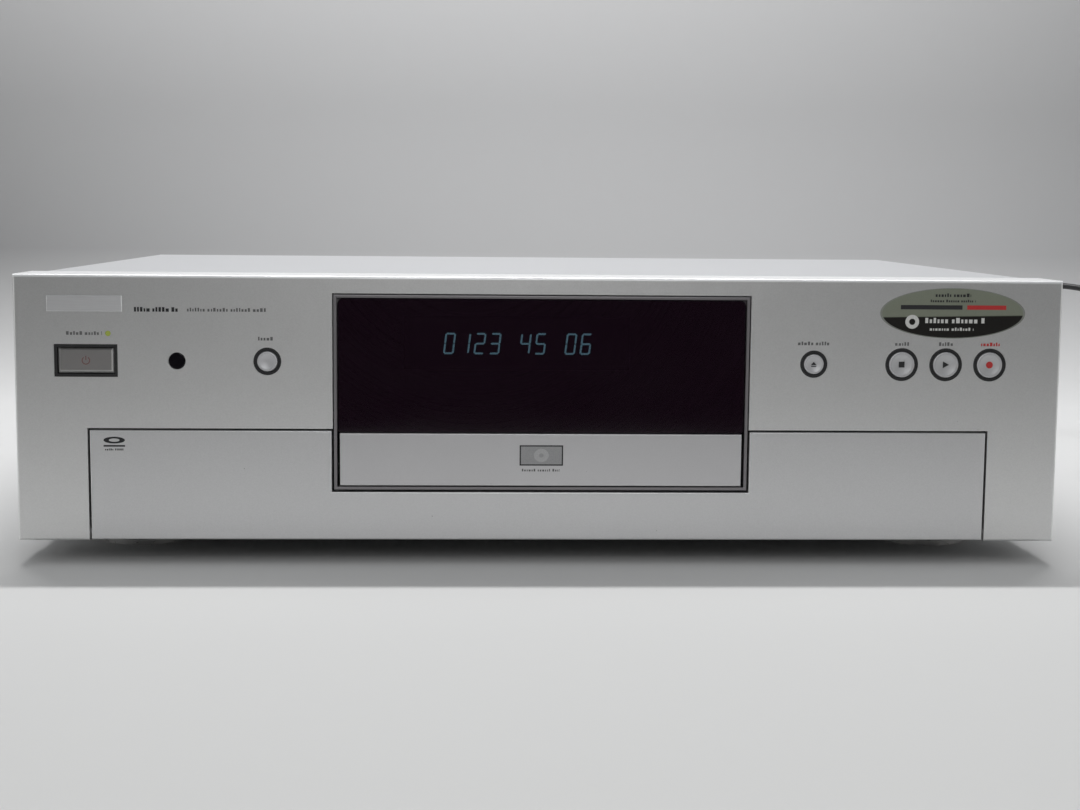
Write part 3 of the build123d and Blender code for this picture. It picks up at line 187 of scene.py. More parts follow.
class Field:
    def __init__(self, tree, socket=None):
        self.tree = tree
        self.socket = socket

    def node(self, kind, inputs=None, output=0, **settings):
        made = self.tree.nodes.new(kind)
        for name, setting in settings.items():
            setattr(made, name, setting)
        for key, given in (inputs or {}).items():
            if isinstance(given, Field):
                self.tree.links.new(given.socket, made.inputs[key])
            else:
                made.inputs[key].default_value = given
        return Field(self.tree, made.outputs[output])

    def maths(self, operation, *parts):
        return self.node("ShaderNodeMath", dict(enumerate(parts)), operation=operation)

    def __add__(self, other):
        return self.maths("ADD", self, other)

    def __sub__(self, other):
        return self.maths("SUBTRACT", self, other)

    def __rsub__(self, other):
        return self.maths("SUBTRACT", other, self)

    def __mul__(self, other):
        return self.maths("MULTIPLY", self, other)

    def __truediv__(self, other):
        return self.maths("DIVIDE", self, other)

    def __rtruediv__(self, other):
        return self.maths("DIVIDE", other, self)

    def __pow__(self, other):
        return self.maths("POWER", self, other)

    def __rpow__(self, other):
        return self.maths("POWER", other, self)

    def __gt__(self, other):
        return self.maths("GREATER_THAN", self, other)

    def __lt__(self, other):
        return self.maths("LESS_THAN", self, other)

    def __abs__(self):
        return self.maths("ABSOLUTE", self)

    __radd__ = __add__
    __rmul__ = __mul__

    def most(self, other):
        return self.maths("MAXIMUM", self, other)

    def sine(self):
        return self.maths("SINE", self)

    def blend(self, other, share):
        return self * share + other * (1 - share)

    def vector(self, operation, other):
        return self.node("ShaderNodeVectorMath", {0: self, 1: other}, operation=operation)

    def scaled(self, share):
        return self.node("ShaderNodeVectorMath", {0: self, "Scale": share}, operation="SCALE")

    def combined(self, x, y, z):
        return self.node("ShaderNodeCombineXYZ", {"X": x, "Y": y, "Z": z})

    def axes(self):
        split = self.tree.nodes.new("ShaderNodeSeparateXYZ")
        self.tree.links.new(self.socket, split.inputs[0])
        return [Field(self.tree, socket) for socket in split.outputs]

    def red(self):
        return self.node("ShaderNodeSeparateColor", {0: self})

    def mapped(self, start, end, low=0.0, high=1.0):
        # what lies from start to end becomes low to high
        inputs = {"Value": self, "From Min": start, "From Max": end, "To Min": low, "To Max": high}
        return self.node("ShaderNodeMapRange", inputs)

    def spread(self, low, high):
        return self.mapped(0.0, 1.0, low, high)

    def around(self, middle, swing):
        return self.spread(middle - swing[0], middle + swing[1])

    def step(self, edge, soft):
        return self.mapped(edge - soft, edge + soft)

    def mix(self, low, high):
        # from one colour to the other, each a field or three numbers
        low, high = [(*tone, 1) if isinstance(tone, tuple) else tone for tone in (low, high)]
        return self.node("ShaderNodeMix", {0: self, 6: low, 7: high}, 2, data_type="RGBA")

    def tint(self, colour, shares):
        return self.mix(shade(colour, shares[0]), shade(colour, shares[1]))


class Finish:
    # a material with one Principled shader: constants go on its own sockets, fields are linked
    sockets = {
        "colour": "Base Color", "roughness": "Roughness", "metallic": "Metallic", "alpha": "Alpha",
        "coat": "Coat Weight", "coatRoughness": "Coat Roughness", "glow": "Emission Color",
        "glowStrength": "Emission Strength", "specular": "Specular IOR Level",
    }

    def __init__(self, name, **constants):
        self.material = bpy.data.materials.new(name)
        self.material.use_nodes = True
        self.tree = self.material.node_tree
        self.shader = self.tree.nodes["Principled BSDF"]
        self.start = Field(self.tree)
        for key, value in constants.items():
            self.set(key, value)

    def set(self, key, value):
        socket = self.shader.inputs[self.sockets[key]]
        if isinstance(value, Field):
            self.tree.links.new(value.socket, socket)
        else:
            socket.default_value = (*value, 1) if isinstance(value, tuple) else value

    def place(self, stretch=(1, 1, 1), centre=(0, 0, 0)):
        moved = self.start.node("ShaderNodeTexCoord", output="Object").vector("SUBTRACT", centre)
        return self.start.node("ShaderNodeMapping", {"Vector": moved, "Scale": stretch})

    def axes(self, centre=(0, 0, 0)):
        return self.place(centre=centre).axes()

    def noise(self, scale, detail=2.0, rough=0.5, where=None, output=0):
        inputs = {"Vector": where or self.place(), "Scale": scale, "Detail": detail, "Roughness": rough}
        return self.start.node("ShaderNodeTexNoise", inputs, output)

    def cells(self, scale, where=None, output="Distance", **settings):
        inputs = {"Vector": where or self.place(), "Scale": scale}
        return self.start.node("ShaderNodeTexVoronoi", inputs, output, **settings)

    def bump(self, height, depth, strength=1.0):
        # the last step of a finish, so it hands over the material
        inputs = {"Strength": strength, "Distance": depth, "Height": height}
        self.tree.links.new(self.start.node("ShaderNodeBump", inputs).socket, self.shader.inputs["Normal"])
        return self.material


# silver lacquer

lacquerShared = {
    "metallic": 0.84,
    "coat": 0.1,
    "coatRoughness": 0.3,
    "roughness": 0.36,
    "swing": (0.06, 0.06),
    "flakes": 2600.0,
    "sparkle": (0.35, 0.65),
    "grain": 1500.0,
    "grainForm": (4.0, 0.65),
    "cloud": (9.0, 3.0),
    # shares of the flakes, the grain and the clouds in the tone, and of the grain against the flakes
    "toneShares": (0.5, 0.3, 0.2),
    "roughShare": 0.6,
    "bumpShare": 0.7,
    "contrast": 0.15,
    "markCells": 70.0,
    "marks": 0.012,
    "markStrength": 0.5,
    "markTone": 0.35,
    "depth": 0.000022,
}
keyShared = {
    **lacquerShared, "coat": 0.0, "coatRoughness": 0.2, "flakes": 5200.0, "grain": 2600.0, "contrast": 0.06,
    "marks": 0.0, "depth": 0.000008,
}
silverValues = {
    "silver_face": {
        **lacquerShared, "colour": (0.78, 0.78, 0.775),
        # the bevel along the top is painted paler and less metallic: a painted highlight
        "edge": panelHigh.z - 0.0012, "edgeSoft": 0.0002, "edgeHighlightColour": (0.90, 0.90, 0.91),
        "edgeMetallic": 0.35,
    },
    "silver_flap": {**lacquerShared, "colour": (0.72, 0.72, 0.725), "marks": 0.02},
    "silver_door": {
        **lacquerShared, "colour": (0.655, 0.65, 0.66), "flakes": 3800.0, "contrast": 0.09, "depth": 0.00002,
    },
    "silver_trim": {
        **lacquerShared, "colour": (0.26, 0.25, 0.26), "metallic": 0.8, "coat": 0.0, "roughness": 0.38,
        "flakes": 3800.0, "contrast": 0.08, "marks": 0.0, "depth": 0.00001,
    },
    "key_silver": {**keyShared, "colour": (0.55, 0.55, 0.56), "metallic": 0.85, "roughness": 0.5},
    "wide_key_silver": {
        **keyShared, "colour": (0.31, 0.30, 0.295), "metallic": 0.75, "roughness": 0.4,
        # a painted highlight: the left, right and lower edges painted paler, like a lit bevel, beyond these
        # offsets from the key's middle
        "rim": (0.0105, 0.0040), "rimSoft": 0.00025, "rimHighlightColour": (0.62, 0.62, 0.61),
    },
}


def silverPaint(name, v):
    # metallic lacquer on plastic: fine flakes, a soft grain and a few tiny marks, with painted highlights on
    # the face's top bevel and on the wide key's edges
    f = Finish(name, metallic=v["metallic"], coat=v["coat"], coatRoughness=v["coatRoughness"])
    flakes = f.cells(v["flakes"], output="Color").red()
    grain = f.noise(v["grain"], *v["grainForm"])
    cloud = f.noise(*v["cloud"])
    flakeShare, grainShare, cloudShare = v["toneShares"]
    tone = flakes.spread(*v["sparkle"]) * flakeShare + grain * grainShare + cloud * cloudShare
    marks = f.cells(v["markCells"]) < v["marks"]
    plain = tone.tint(v["colour"], (1 - v["contrast"], 1 + v["contrast"]))
    paint = (marks * v["markStrength"]).mix(plain, shade(v["colour"], v["markTone"]))
    # painted highlight: the top bevel painted paler and less metallic
    if "edge" in v:
        above = f.axes()[2].step(v["edge"], v["edgeSoft"])
        paint = above.mix(paint, v["edgeHighlightColour"])
        f.set("metallic", above.spread(v["metallic"], v["edgeMetallic"]))
    if "rim" in v:
        # painted highlight: the wide key's left, right and lower edges painted paler
        low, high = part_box("standby_button")
        x, _, z = f.axes(tuple((low + high) / 2))
        beside = abs(x).step(v["rim"][0], v["rimSoft"])
        below = (0.0 - z).step(v["rim"][1], v["rimSoft"])
        paint = beside.most(below).mix(paint, v["rimHighlightColour"])
    f.set("colour", paint)
    f.set("roughness", grain.blend(flakes, v["roughShare"]).around(v["roughness"], v["swing"]))
    return f.bump(grain.blend(flakes, v["bumpShare"]), v["depth"])


silvers = {name: silverPaint(name, values) for name, values in silverValues.items()}


# enamelled and galvanised sheet

sheetShared = {
    "peelForm": (3.0, 0.55), "fine": 2600.0, "fineForm": (3.0, 0.6), "toneShare": 0.5, "bumpShare": 0.75,
    "tones": (0.95, 1.05), "swing": (0.05, 0.07), "coatRoughness": 0.25,
}
sheetValues = {
    "cover_paint": {
        **sheetShared, "colour": (0.535, 0.54, 0.555), "metallic": 0.35, "coat": 0.05, "roughness": 0.5,
        "peel": 700.0, "depth": 0.00003,
    },
    "drive_paint": {
        **sheetShared, "colour": (0.42, 0.42, 0.43), "metallic": 0.5, "coat": 0.0, "roughness": 0.42,
        "peel": 900.0, "depth": 0.00002,
    },
}
zincValues = {
    "colour": (0.60, 0.61, 0.62),
    "metallic": 0.85,
    "roughness": 0.42,
    "swing": (0.06, 0.08),
    "crystals": 150.0,
    "crystalShare": 0.7,
    # the crystals' edges wander by this much
    "warp": 0.006,
    "warpScale": 60.0,
    "haze": (400.0, 3.0),
    "tones": (0.91, 1.06),
    "depth": 0.00001,
}


def paintedSheet(name, v):
    # baked enamel on steel with its faint orange peel
    f = Finish(name, metallic=v["metallic"], coat=v["coat"], coatRoughness=v["coatRoughness"])
    peel = f.noise(v["peel"], *v["peelForm"])
    fine = f.noise(v["fine"], *v["fineForm"])
    f.set("colour", peel.blend(fine, v["toneShare"]).tint(v["colour"], v["tones"]))
    f.set("roughness", fine.around(v["roughness"], v["swing"]))
    return f.bump(peel.blend(fine, v["bumpShare"]), v["depth"])


def zincSheet(name, v):
    # galvanised steel: crystals of slightly different grey
    f = Finish(name, metallic=v["metallic"])
    drift = f.noise(v["warpScale"], output="Color").scaled(v["warp"])
    crystal = f.cells(v["crystals"], f.place().vector("ADD", drift), "Color").red()
    haze = f.noise(*v["haze"])
    f.set("colour", crystal.blend(haze, v["crystalShare"]).tint(v["colour"], v["tones"]))
    f.set("roughness", crystal.around(v["roughness"], v["swing"]))
    return f.bump(haze, v["depth"])


sheets = {name: paintedSheet(name, values) for name, values in sheetValues.items()}
sheets["zinc_steel"] = zincSheet("zinc_steel", zincValues)


# moulded plastics and rubber

plasticShared = {
    "grainForm": (3.0, 0.6), "tones": (0.85, 1.15), "swing": (0.07, 0.07),
    # worn spots: their noise, where they start, how softly, and how much shinier they are
    "worn": (22.0, 2.0), "wornEdge": (0.56, 0.1), "wornShine": 0.06,
}
plasticValues = {
    "black": {"colour": (0.016, 0.016, 0.017), "roughness": 0.42, "grain": 1800.0, "depth": 0.00003},
    "panel": {"colour": (0.045, 0.046, 0.05), "roughness": 0.5, "grain": 1500.0, "depth": 0.00004},
    "darkKey": {"colour": (0.10, 0.10, 0.105), "roughness": 0.38, "grain": 2200.0, "depth": 0.00002},
    "puck": {"colour": (0.72, 0.72, 0.70), "roughness": 0.4, "grain": 1800.0, "depth": 0.00002},
    "turntable": {"colour": (0.02, 0.02, 0.021), "roughness": 0.55, "grain": 2400.0, "depth": 0.00003},
    "cord": {"colour": (0.014, 0.014, 0.015), "roughness": 0.4, "grain": 1400.0, "depth": 0.00003},
    "tie": {"colour": (0.02, 0.02, 0.021), "roughness": 0.35, "grain": 2000.0, "depth": 0.00002},
    "infrared": {"colour": (0.006, 0.005, 0.007), "roughness": 0.16, "grain": 900.0, "depth": 0.000005},
    "sleeve": {"colour": (0.03, 0.04, 0.09), "roughness": 0.28, "grain": 1200.0, "depth": 0.00001},
    "tape": {"colour": (0.55, 0.47, 0.12), "roughness": 0.5, "grain": 900.0, "depth": 0.00003},
    "rubber": {"colour": (0.02, 0.02, 0.02), "roughness": 0.75, "grain": 2600.0, "depth": 0.00004},
    "yellow": {"colour": (0.72, 0.50, 0.03), "roughness": 0.4, "grain": 1800.0, "depth": 0.00002},
    "white": {"colour": (0.74, 0.74, 0.72), "roughness": 0.4, "grain": 1800.0, "depth": 0.00002},
    "red": {"colour": (0.50, 0.03, 0.03), "roughness": 0.4, "grain": 1800.0, "depth": 0.00002},
    "chip": {"colour": (0.02, 0.02, 0.022), "roughness": 0.5, "grain": 2400.0, "depth": 0.00002},
}


def mouldedPlastic(name, v):
    # spark-eroded mould grain with slightly shinier worn spots
    f = Finish(name)
    grain = f.noise(v["grain"], *v["grainForm"])
    worn = f.noise(*v["worn"]).step(*v["wornEdge"])
    f.set("colour", grain.tint(v["colour"], v["tones"]))
    f.set("roughness", grain.around(v["roughness"], v["swing"]) - worn * v["wornShine"])
    return f.bump(grain, v["depth"])


plastics = {name: mouldedPlastic(name + "_plastic", {**plasticShared, **values})
            for name, values in plasticValues.items()}


# bare metals; the lines of a brush run along the axis with the smallest stretch

metalShared = {
    "lineForm": (3.0, 0.7), "stain": (30.0, 3.0), "lineShare": 0.75, "tones": (0.8, 1.15),
    "swing": (0.08, 0.1),
}
metalValues = {
    "plate": {"colour": (0.86, 0.86, 0.87), "roughness": 0.42, "stretch": (60, 1, 9000), "depth": 0.000012},
    "socket": {
        "colour": (0.68, 0.66, 0.60), "roughness": 0.26, "stretch": (3000, 60, 3000), "depth": 0.000004,
    },
    "tin": {"colour": (0.66, 0.67, 0.68), "roughness": 0.32, "stretch": (120, 2600, 2600), "depth": 0.000006},
    "sled": {
        "colour": (0.45, 0.45, 0.46), "roughness": 0.42, "stretch": (1400, 1400, 1400), "depth": 0.00001,
    },
    "sink": {"colour": (0.68, 0.69, 0.70), "roughness": 0.34, "stretch": (2400, 2400, 50), "depth": 0.00001},
    "rod": {"colour": (0.72, 0.72, 0.73), "roughness": 0.14, "stretch": (3000, 80, 3000), "depth": 0.000002},
    "can": {"colour": (0.58, 0.58, 0.59), "roughness": 0.3, "stretch": (60, 3000, 3000), "depth": 0.000006},
    "brass": {
        "colour": (0.70, 0.52, 0.22), "roughness": 0.25, "stretch": (2000, 60, 2000), "depth": 0.000004,
    },
    "screw": {
        "colour": (0.55, 0.55, 0.56), "roughness": 0.3, "stretch": (2600, 2600, 2600), "depth": 0.000005,
    },
}


def brushedMetal(name, v):
    # fine lines along one axis, from the brushing belt
    f = Finish(name, metallic=1.0)
    lines = f.noise(1.0, *v["lineForm"], f.place(stretch=v["stretch"]))
    stained = lines.blend(f.noise(*v["stain"]), v["lineShare"])
    f.set("colour", stained.tint(v["colour"], v["tones"]))
    f.set("roughness", lines.around(v["roughness"], v["swing"]))
    return f.bump(lines, v["depth"])


metals = {name: brushedMetal(name + "_metal", {**metalShared, **values})
          for name, values in metalValues.items()}


# printing inks

inkValues = {
    "black": (0.025, 0.025, 0.027), "grey": (0.13, 0.13, 0.13), "pale": (0.62, 0.62, 0.60),
    "red": (0.46, 0.035, 0.035), "faded_red": (0.22, 0.10, 0.10), "mid": (0.33, 0.33, 0.335),
    "soft": (0.43, 0.43, 0.435),
}
inkShared = {
    "specular": 0.3, "grain": (2500.0, 2.0), "tones": (0.8, 1.2), "roughness": (0.42, 0.6), "depth": 0.000006,
}


def printedInk(name, colour, v):
    f = Finish(name, specular=v["specular"])
    grain = f.noise(*v["grain"])
    f.set("colour", grain.tint(colour, v["tones"]))
    f.set("roughness", grain.spread(*v["roughness"]))
    return f.bump(grain, v["depth"])


inks = {name: printedInk(name + "_ink", colour, inkShared) for name, colour in inkValues.items()}


# circuit board, glass and what glows

boardFinishValues = {
    "colour": (0.02, 0.10, 0.045),
    "tracks": 160.0,
    "trackBands": 9.0,
    "trackEdge": 0.36,
    "trackTone": 1.9,
    "pads": 240.0,
    "padSize": 0.16,
    "padColour": (0.62, 0.60, 0.55),
    "padMetallic": 0.8,
    "padShine": 0.12,
    "roughness": 0.42,
    "weave": 5200.0,
    # heights of the tracks, the pads and the weave
    "heights": (0.6, 0.5, 0.08),
    "depth": 0.00004,
}
glassShared = {
    "smears": (3.0, 0.55), "smearStretch": (22, 22, 60), "smearShare": 0.1, "dustCells": 170.0, "dust": 0.035,
    "dustShare": 0.3, "swing": (0.03, 0.05), "waves": (14.0, 1.0), "depth": 0.00002, "strength": 0.1,
}
glassValues = {
    "smoked_window": {
        "colour": (0.0095, 0.0032, 0.008), "alpha": 0.88, "roughness": 0.07, "smear": (0.035, 0.03, 0.032),
    },
    "tube_glass": {
        "colour": (0.012, 0.016, 0.016), "alpha": 1.0, "roughness": 0.12, "smear": (0.05, 0.055, 0.055),
    },
}
glowShared = {"roughness": 0.4, "tones": (0.85, 1.1)}
glowValues = {
    "lamp_lens": {
        "colour": (0.20, 0.23, 0.05), "glow": (0.46, 0.55, 0.08), "strength": 0.2, "grain": (900.0, 2.0),
    },
    "lit_segment": {
        "colour": (0.2, 0.4, 0.5), "glow": (0.36, 0.74, 1.0), "strength": 7.5, "grain": (1500.0, 2.0),
    },
}


def circuitBoard(name, v):
    # solder mask over copper: tracks between cells, pads, and the weave of the glass cloth
    f = Finish(name)
    flat = f.place(stretch=(1, 1, 0))
    x, y, _ = f.axes()
    cells = f.cells(v["tracks"], flat, distance="CHEBYCHEV", feature="F2")
    tracks = f.start.maths("PINGPONG", cells * v["trackBands"], 0.5) > v["trackEdge"]
    pads = f.cells(v["pads"], flat) < v["padSize"]
    weave = (x * v["weave"]).sine() * (y * v["weave"]).sine()
    mask = tracks.mix(v["colour"], shade(v["colour"], v["trackTone"]))
    f.set("colour", pads.mix(mask, v["padColour"]))
    f.set("metallic", pads * v["padMetallic"])
    f.set("roughness", v["roughness"] - pads * v["padShine"])
    trackHeight, padHeight, weaveHeight = v["heights"]
    return f.bump(tracks * trackHeight + pads * padHeight + weave * weaveHeight, v["depth"])


def plainGlass(name, v):
    # polished, with wiped smears and a few specks of dust
    f = Finish(name, alpha=v["alpha"])
    smear = f.noise(1.0, *v["smears"], f.place(stretch=v["smearStretch"]))
    dust = f.cells(v["dustCells"]) < v["dust"]
    f.set("colour", (dust * v["dustShare"] + smear * v["smearShare"]).mix(v["colour"], v["smear"]))
    f.set("roughness", smear.around(v["roughness"], v["swing"]))
    return f.bump(f.noise(*v["waves"]), v["depth"], v["strength"])


def glowing(name, v):
    f = Finish(name, colour=v["colour"], glowStrength=v["strength"], roughness=v["roughness"])
    f.set("glow", f.noise(*v["grain"]).tint(v["glow"], v["tones"]))
    return f.material


boardGreen = circuitBoard("board_green", boardFinishValues)
glasses = {name: plainGlass(name, {**glassShared, **values}) for name, values in glassValues.items()}
glows = {name: glowing(name, {**glowShared, **values}) for name, values in glowValues.items()}


# the sticker's foil and the plated feet

foilValues = {
    "metallic": 0.35,
    "upper": (0.26, 0.28, 0.22),
    "upperTones": (0.9, 1.1),
    # shares of the grain and of the height in the upper field's tone
    "upperShares": (0.6, 0.2),
    "lower": (0.010, 0.009, 0.008),
    "lowerTones": (1.0, 1.8),
    "split": -0.12,
    "splitSoft": 0.02,
    "tilt": 0.05,
    "rim": (0.30, 0.31, 0.28),
    "rimEdge": (0.972, 0.006),
    "grain": (1800.0, 3.0),
    "roughness": (0.3, 0.42),
    "depth": 0.000008,
}
footValues = {
    "colour": (0.66, 0.65, 0.64),
    "metallic": 0.9,
    "roughness": 0.28,
    "swing": (0.05, 0.08),
    "rings": 9000.0,
    "ringShare": 0.2,
    "haze": (300.0, 2.0),
    "hazeShare": 0.6,
    "base": 0.1,
    "tones": (0.85, 1.1),
    "depth": 0.00001,
}


def stickerFoil(name, v):
    # two-tone foil: greenish silver above, black below, a fine silver rim
    low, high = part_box("oval_label")
    f = Finish(name, metallic=v["metallic"])
    x, _, z = f.axes(tuple((low + high) / 2))
    across, height = x / ((high.x - low.x) / 2), z / ((high.z - low.z) / 2)
    radius = (across * across + height * height) ** 0.5
    grain = f.noise(*v["grain"])
    grainShare, heightShare = v["upperShares"]
    upper = (grain * grainShare + (height + 1.0) * heightShare).tint(v["upper"], v["upperTones"])
    lower = grain.tint(v["lower"], v["lowerTones"])
    field = (height - across * v["tilt"]).step(v["split"], v["splitSoft"]).mix(lower, upper)
    f.set("colour", radius.step(*v["rimEdge"]).mix(field, v["rim"]))
    f.set("roughness", grain.spread(*v["roughness"]))
    return f.bump(grain, v["depth"])


def footSilver(name, v):
    # vacuum-plated plastic: each foot's own lathe rings, found by folding the four feet onto one
    frontFoot, rearFoot = [sum(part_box(node), Vector()) / 2 for node in ("foot_front_left", "foot_rear_left")]
    midY = (frontFoot.y + rearFoot.y) / 2
    f = Finish(name, metallic=v["metallic"])
    x, y, _ = f.axes()
    offX = abs(x) - abs(frontFoot.x)
    offY = abs(y - midY) - abs(frontFoot.y - midY)
    rings = ((offX * offX + offY * offY) ** 0.5 * v["rings"]).sine()
    haze = f.noise(*v["haze"])
    tone = rings * v["ringShare"] + haze * v["hazeShare"] + v["base"]
    f.set("colour", tone.tint(v["colour"], v["tones"]))
    f.set("roughness", haze.around(v["roughness"], v["swing"]))
    return f.bump(rings, v["depth"])


labelFoil = stickerFoil("label_paper", foilValues)
footFinish = footSilver("foot_silver", footValues)
print("finishes made")


# finishes for the record's material slots

finishes = {
    **silvers, **sheets, **glasses, **glows,
    "label_paper": labelFoil, "foot_silver": footFinish, "circuit_board": boardGreen,
    "black_plastic": plastics["black"], "infrared_black": plastics["infrared"],
    "dark_panel": plastics["panel"], "dark_key": plastics["darkKey"],
    "transformer_iron": plastics["tape"], "puck_white": plastics["puck"],
    "capacitor_sleeve": plastics["sleeve"], "turntable_black": plastics["turntable"],
    "cord_black": plastics["cord"], "tie_plastic": plastics["tie"], "drive_black": sheets["drive_paint"],
    "plate_metal": metals["plate"], "socket_metal": metals["socket"], "tuner_steel": metals["tin"],
    "sink_aluminium": metals["sink"], "sled_grey": metals["sled"], "rod_steel": metals["rod"],
    "motor_can": metals["can"],
}
for name, node in nodes.items():
    for index, material in enumerate(node.data.materials):
        slotName = material.name.split(".")[0]
        if slotName in finishes:
            node.material_slots[index].material = finishes[slotName]
        else:
            print("no finish for", name, material.name)
nodes["standby_button"].material_slots[0].material = silvers["wide_key_silver"]
mainsCord.data.materials.append(plastics["cord"])
print("finishes on the nodes")


# mesh helpers; outlines are lists of (x, z) in millimetres

def meshObject(name, materials, build):
    mesh = bpy.data.meshes.new(name)
    shape = bmesh.new()
    build(shape)
    shape.to_mesh(mesh)
    shape.free()
    for material in materials:
        mesh.materials.append(material)
    return addObject(name, mesh)


def newPiece(name, body, materials, draw):
    def build(shape):
        draw(shape)
        bmesh.ops.recalc_face_normals(shape, faces=shape.faces)

    piece = meshObject(name, materials, build)
    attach(piece, body)


def prism(shape, outline, y0, y1, material=0):
    near = [shape.verts.new(at(x, y0, z)) for x, z in outline]
    far = [shape.verts.new(at(x, y1, z)) for x, z in outline]
    faces = [shape.faces.new(near), shape.faces.new(far[::-1])]
    for i in range(len(outline)):
        j = (i + 1) % len(outline)
        faces.append(shape.faces.new((near[j], near[i], far[i], far[j])))
    for face in faces:
        face.material_index = material


def bar(shape, x0, x1, z0, z1, y0, y1, material=0):
    prism(shape, [(x0, z0), (x1, z0), (x1, z1), (x0, z1)], y0, y1, material)


def arc(x, z, r, start, end, count):
    angles = [math.radians(start + (end - start) * i / count) for i in range(count + 1)]
    return [(x + r * math.cos(angle), z + r * math.sin(angle)) for angle in angles]


def ring(shape, x, z, inner, outer, y0, y1, material=0, start=0.0, end=360.0, squash=1.0, count=40):
    # a flat band round a point, open where start and end leave a gap
    full = end - start >= 360.0
    columns = []
    for i in range(count if full else count + 1):
        angle = math.radians(start + (end - start) * i / count)
        cx, cz = math.cos(angle), math.sin(angle) * squash
        columns.append([shape.verts.new(at(x + r * cx, y, z + r * cz))
                        for r, y in ((inner, y0), (outer, y0), (outer, y1), (inner, y1))])
    faces = []
    for i in range(count):
        a, b = columns[i], columns[(i + 1) % len(columns)]
        faces += [shape.faces.new((a[k], a[(k + 1) % 4], b[(k + 1) % 4], b[k])) for k in range(4)]
    if not full:
        faces += [shape.faces.new(columns[0]), shape.faces.new(columns[-1][::-1])]
    for face in faces:
        face.material_index = material


def roundedOutline(x0, x1, z0, z1, r, count=5):
    return (arc(x1 - r, z1 - r, r, 0, 90, count) + arc(x0 + r, z1 - r, r, 90, 180, count)
            + arc(x0 + r, z0 + r, r, 180, 270, count) + arc(x1 - r, z0 + r, r, 270, 360, count))


# prints, all bare marks without words
# a line: from x, to x, middle z, height, seed, ink, gap between letters, letters in a word

letterValues = {
    # widths and heights as shares of a line's height
    "widths": (0.35, 0.75),
    "heights": (0.72, 0.72, 1.0),
    "narrowest": 0.15,
    # a word space is this many times a gap between letters
    "wordSpace": 2.6,
}


def greeked(shape, x0, x1, z, height, y0, y1, seed, material, gap, word):
    # a line of print too small to read: little bars of uneven width, with word spaces
    v = letterValues
    dice = random.Random(seed)
    x = x0
    count = 0
    while x < x1:
        width = min(height * dice.uniform(*v["widths"]), x1 - x)
        tall = height * dice.choice(v["heights"])
        if width > v["narrowest"]:
            bar(shape, x, x + width, z - height / 2, z - height / 2 + tall, y0, y1, material)
        count += 1
        x += width + height * (gap if count % word else gap * v["wordSpace"])


def drawLines(shape, lines, y0, y1, x=0.0, z=0.0):
    for x0, x1, middle, height, seed, ink, gap, word in lines:
        greeked(shape, x + x0, x + x1, z + middle, height, y0, y1, seed, ink, gap, word)


def drawFrames(shape, frames, line, y0, y1):
    for x0, x1, z0, z1 in frames:
        bar(shape, x0, x1, z0, z0 + line, y0, y1)
        bar(shape, x0, x1, z1 - line, z1, y0, y1)
        bar(shape, x0, x0 + line, z0 + line, z1 - line, y0, y1)
        bar(shape, x1 - line, x1, z0 + line, z1 - line, y0, y1)


frontMarks = {
    "proud": 0.03,
    "sunk": 0.06,
    "lines": [
        (-168.3, -150.4, 106.3, 1.9, 3, 0, 0.22, 5), (-146.7, -114.4, 106.3, 1.5, 8, 1, 0.3, 7),
        (-196.1, -181.5, 96.4, 1.5, 20, 1, 0.28, 5), (-117.8, -110.9, 94.5, 1.5, 21, 1, 0.28, 5),
        (106.3, 119.4, 93.8, 1.5, 22, 1, 0.28, 5), (147.2, 153.1, 93.8, 1.5, 23, 1, 0.28, 5),
        (165.8, 171.7, 93.8, 1.5, 24, 1, 0.28, 5), (183.6, 192.0, 93.8, 1.5, 31, 2, 0.28, 9),
    ],
}
doorMarks = {
    "proud": 0.03,
    "sunk": 0.06,
    "box": (-9.6, 8.6, 41.9, 50.5),
    "line": 0.55,
    # the box's field lies this much behind the marks on it
    "fieldStep": 0.01,
    "ring": (1.0, 3.1),
    "squash": 0.9,
    "lines": [(-8.6, 7.2, 40.0, 1.1, 12, 1, 0.35, 6)],
}
flapMarks = {
    "proud": 0.03,
    "sunk": 0.06,
    "middle": (-177.4, 52.1),
    "halfWidth": 4.4,
    "halfHeight": 1.4,
    "hole": 0.5,
    "underline": (49.35, 50.05),
    "lines": [(-181.2, -173.4, 48.2, 0.8, 17, 0, 0.35, 5)],
}


def frontPrint(shape):
    v = frontMarks
    drawLines(shape, v["lines"], -v["proud"], v["sunk"])


def doorPrint(shape):
    v = doorMarks
    y0, y1, line = -v["proud"], v["sunk"], v["line"]
    x0, x1, z0, z1 = v["box"]
    drawFrames(shape, [v["box"]], line, y0, y1)
    bar(shape, x0 + line, x1 - line, z0 + line, z1 - line, y0 + v["fieldStep"], y1, 3)
    ring(shape, (x0 + x1) / 2, (z0 + z1) / 2, *v["ring"], y0, y1, 2, squash=v["squash"])
    drawLines(shape, v["lines"], y0, y1)


def flapPrint(shape):
    v = flapMarks
    y0, y1, half = -v["proud"], v["sunk"], v["halfWidth"]
    x, z = v["middle"]
    ring(shape, x, z, half * v["hole"], half, y0, y1, squash=v["halfHeight"] / half)
    bar(shape, x - half, x + half, *v["underline"], y0, y1)
    drawLines(shape, v["lines"], y0, y1)


newPiece("front_print", "housing", [inks["black"], inks["grey"], inks["red"]], frontPrint)
newPiece("door_print", "tray", [inks["black"], inks["grey"], inks["soft"], inks["mid"]], doorPrint)
newPiece("flap_print", "flap", [inks["black"]], flapPrint)


# key symbols, low in each key's dish

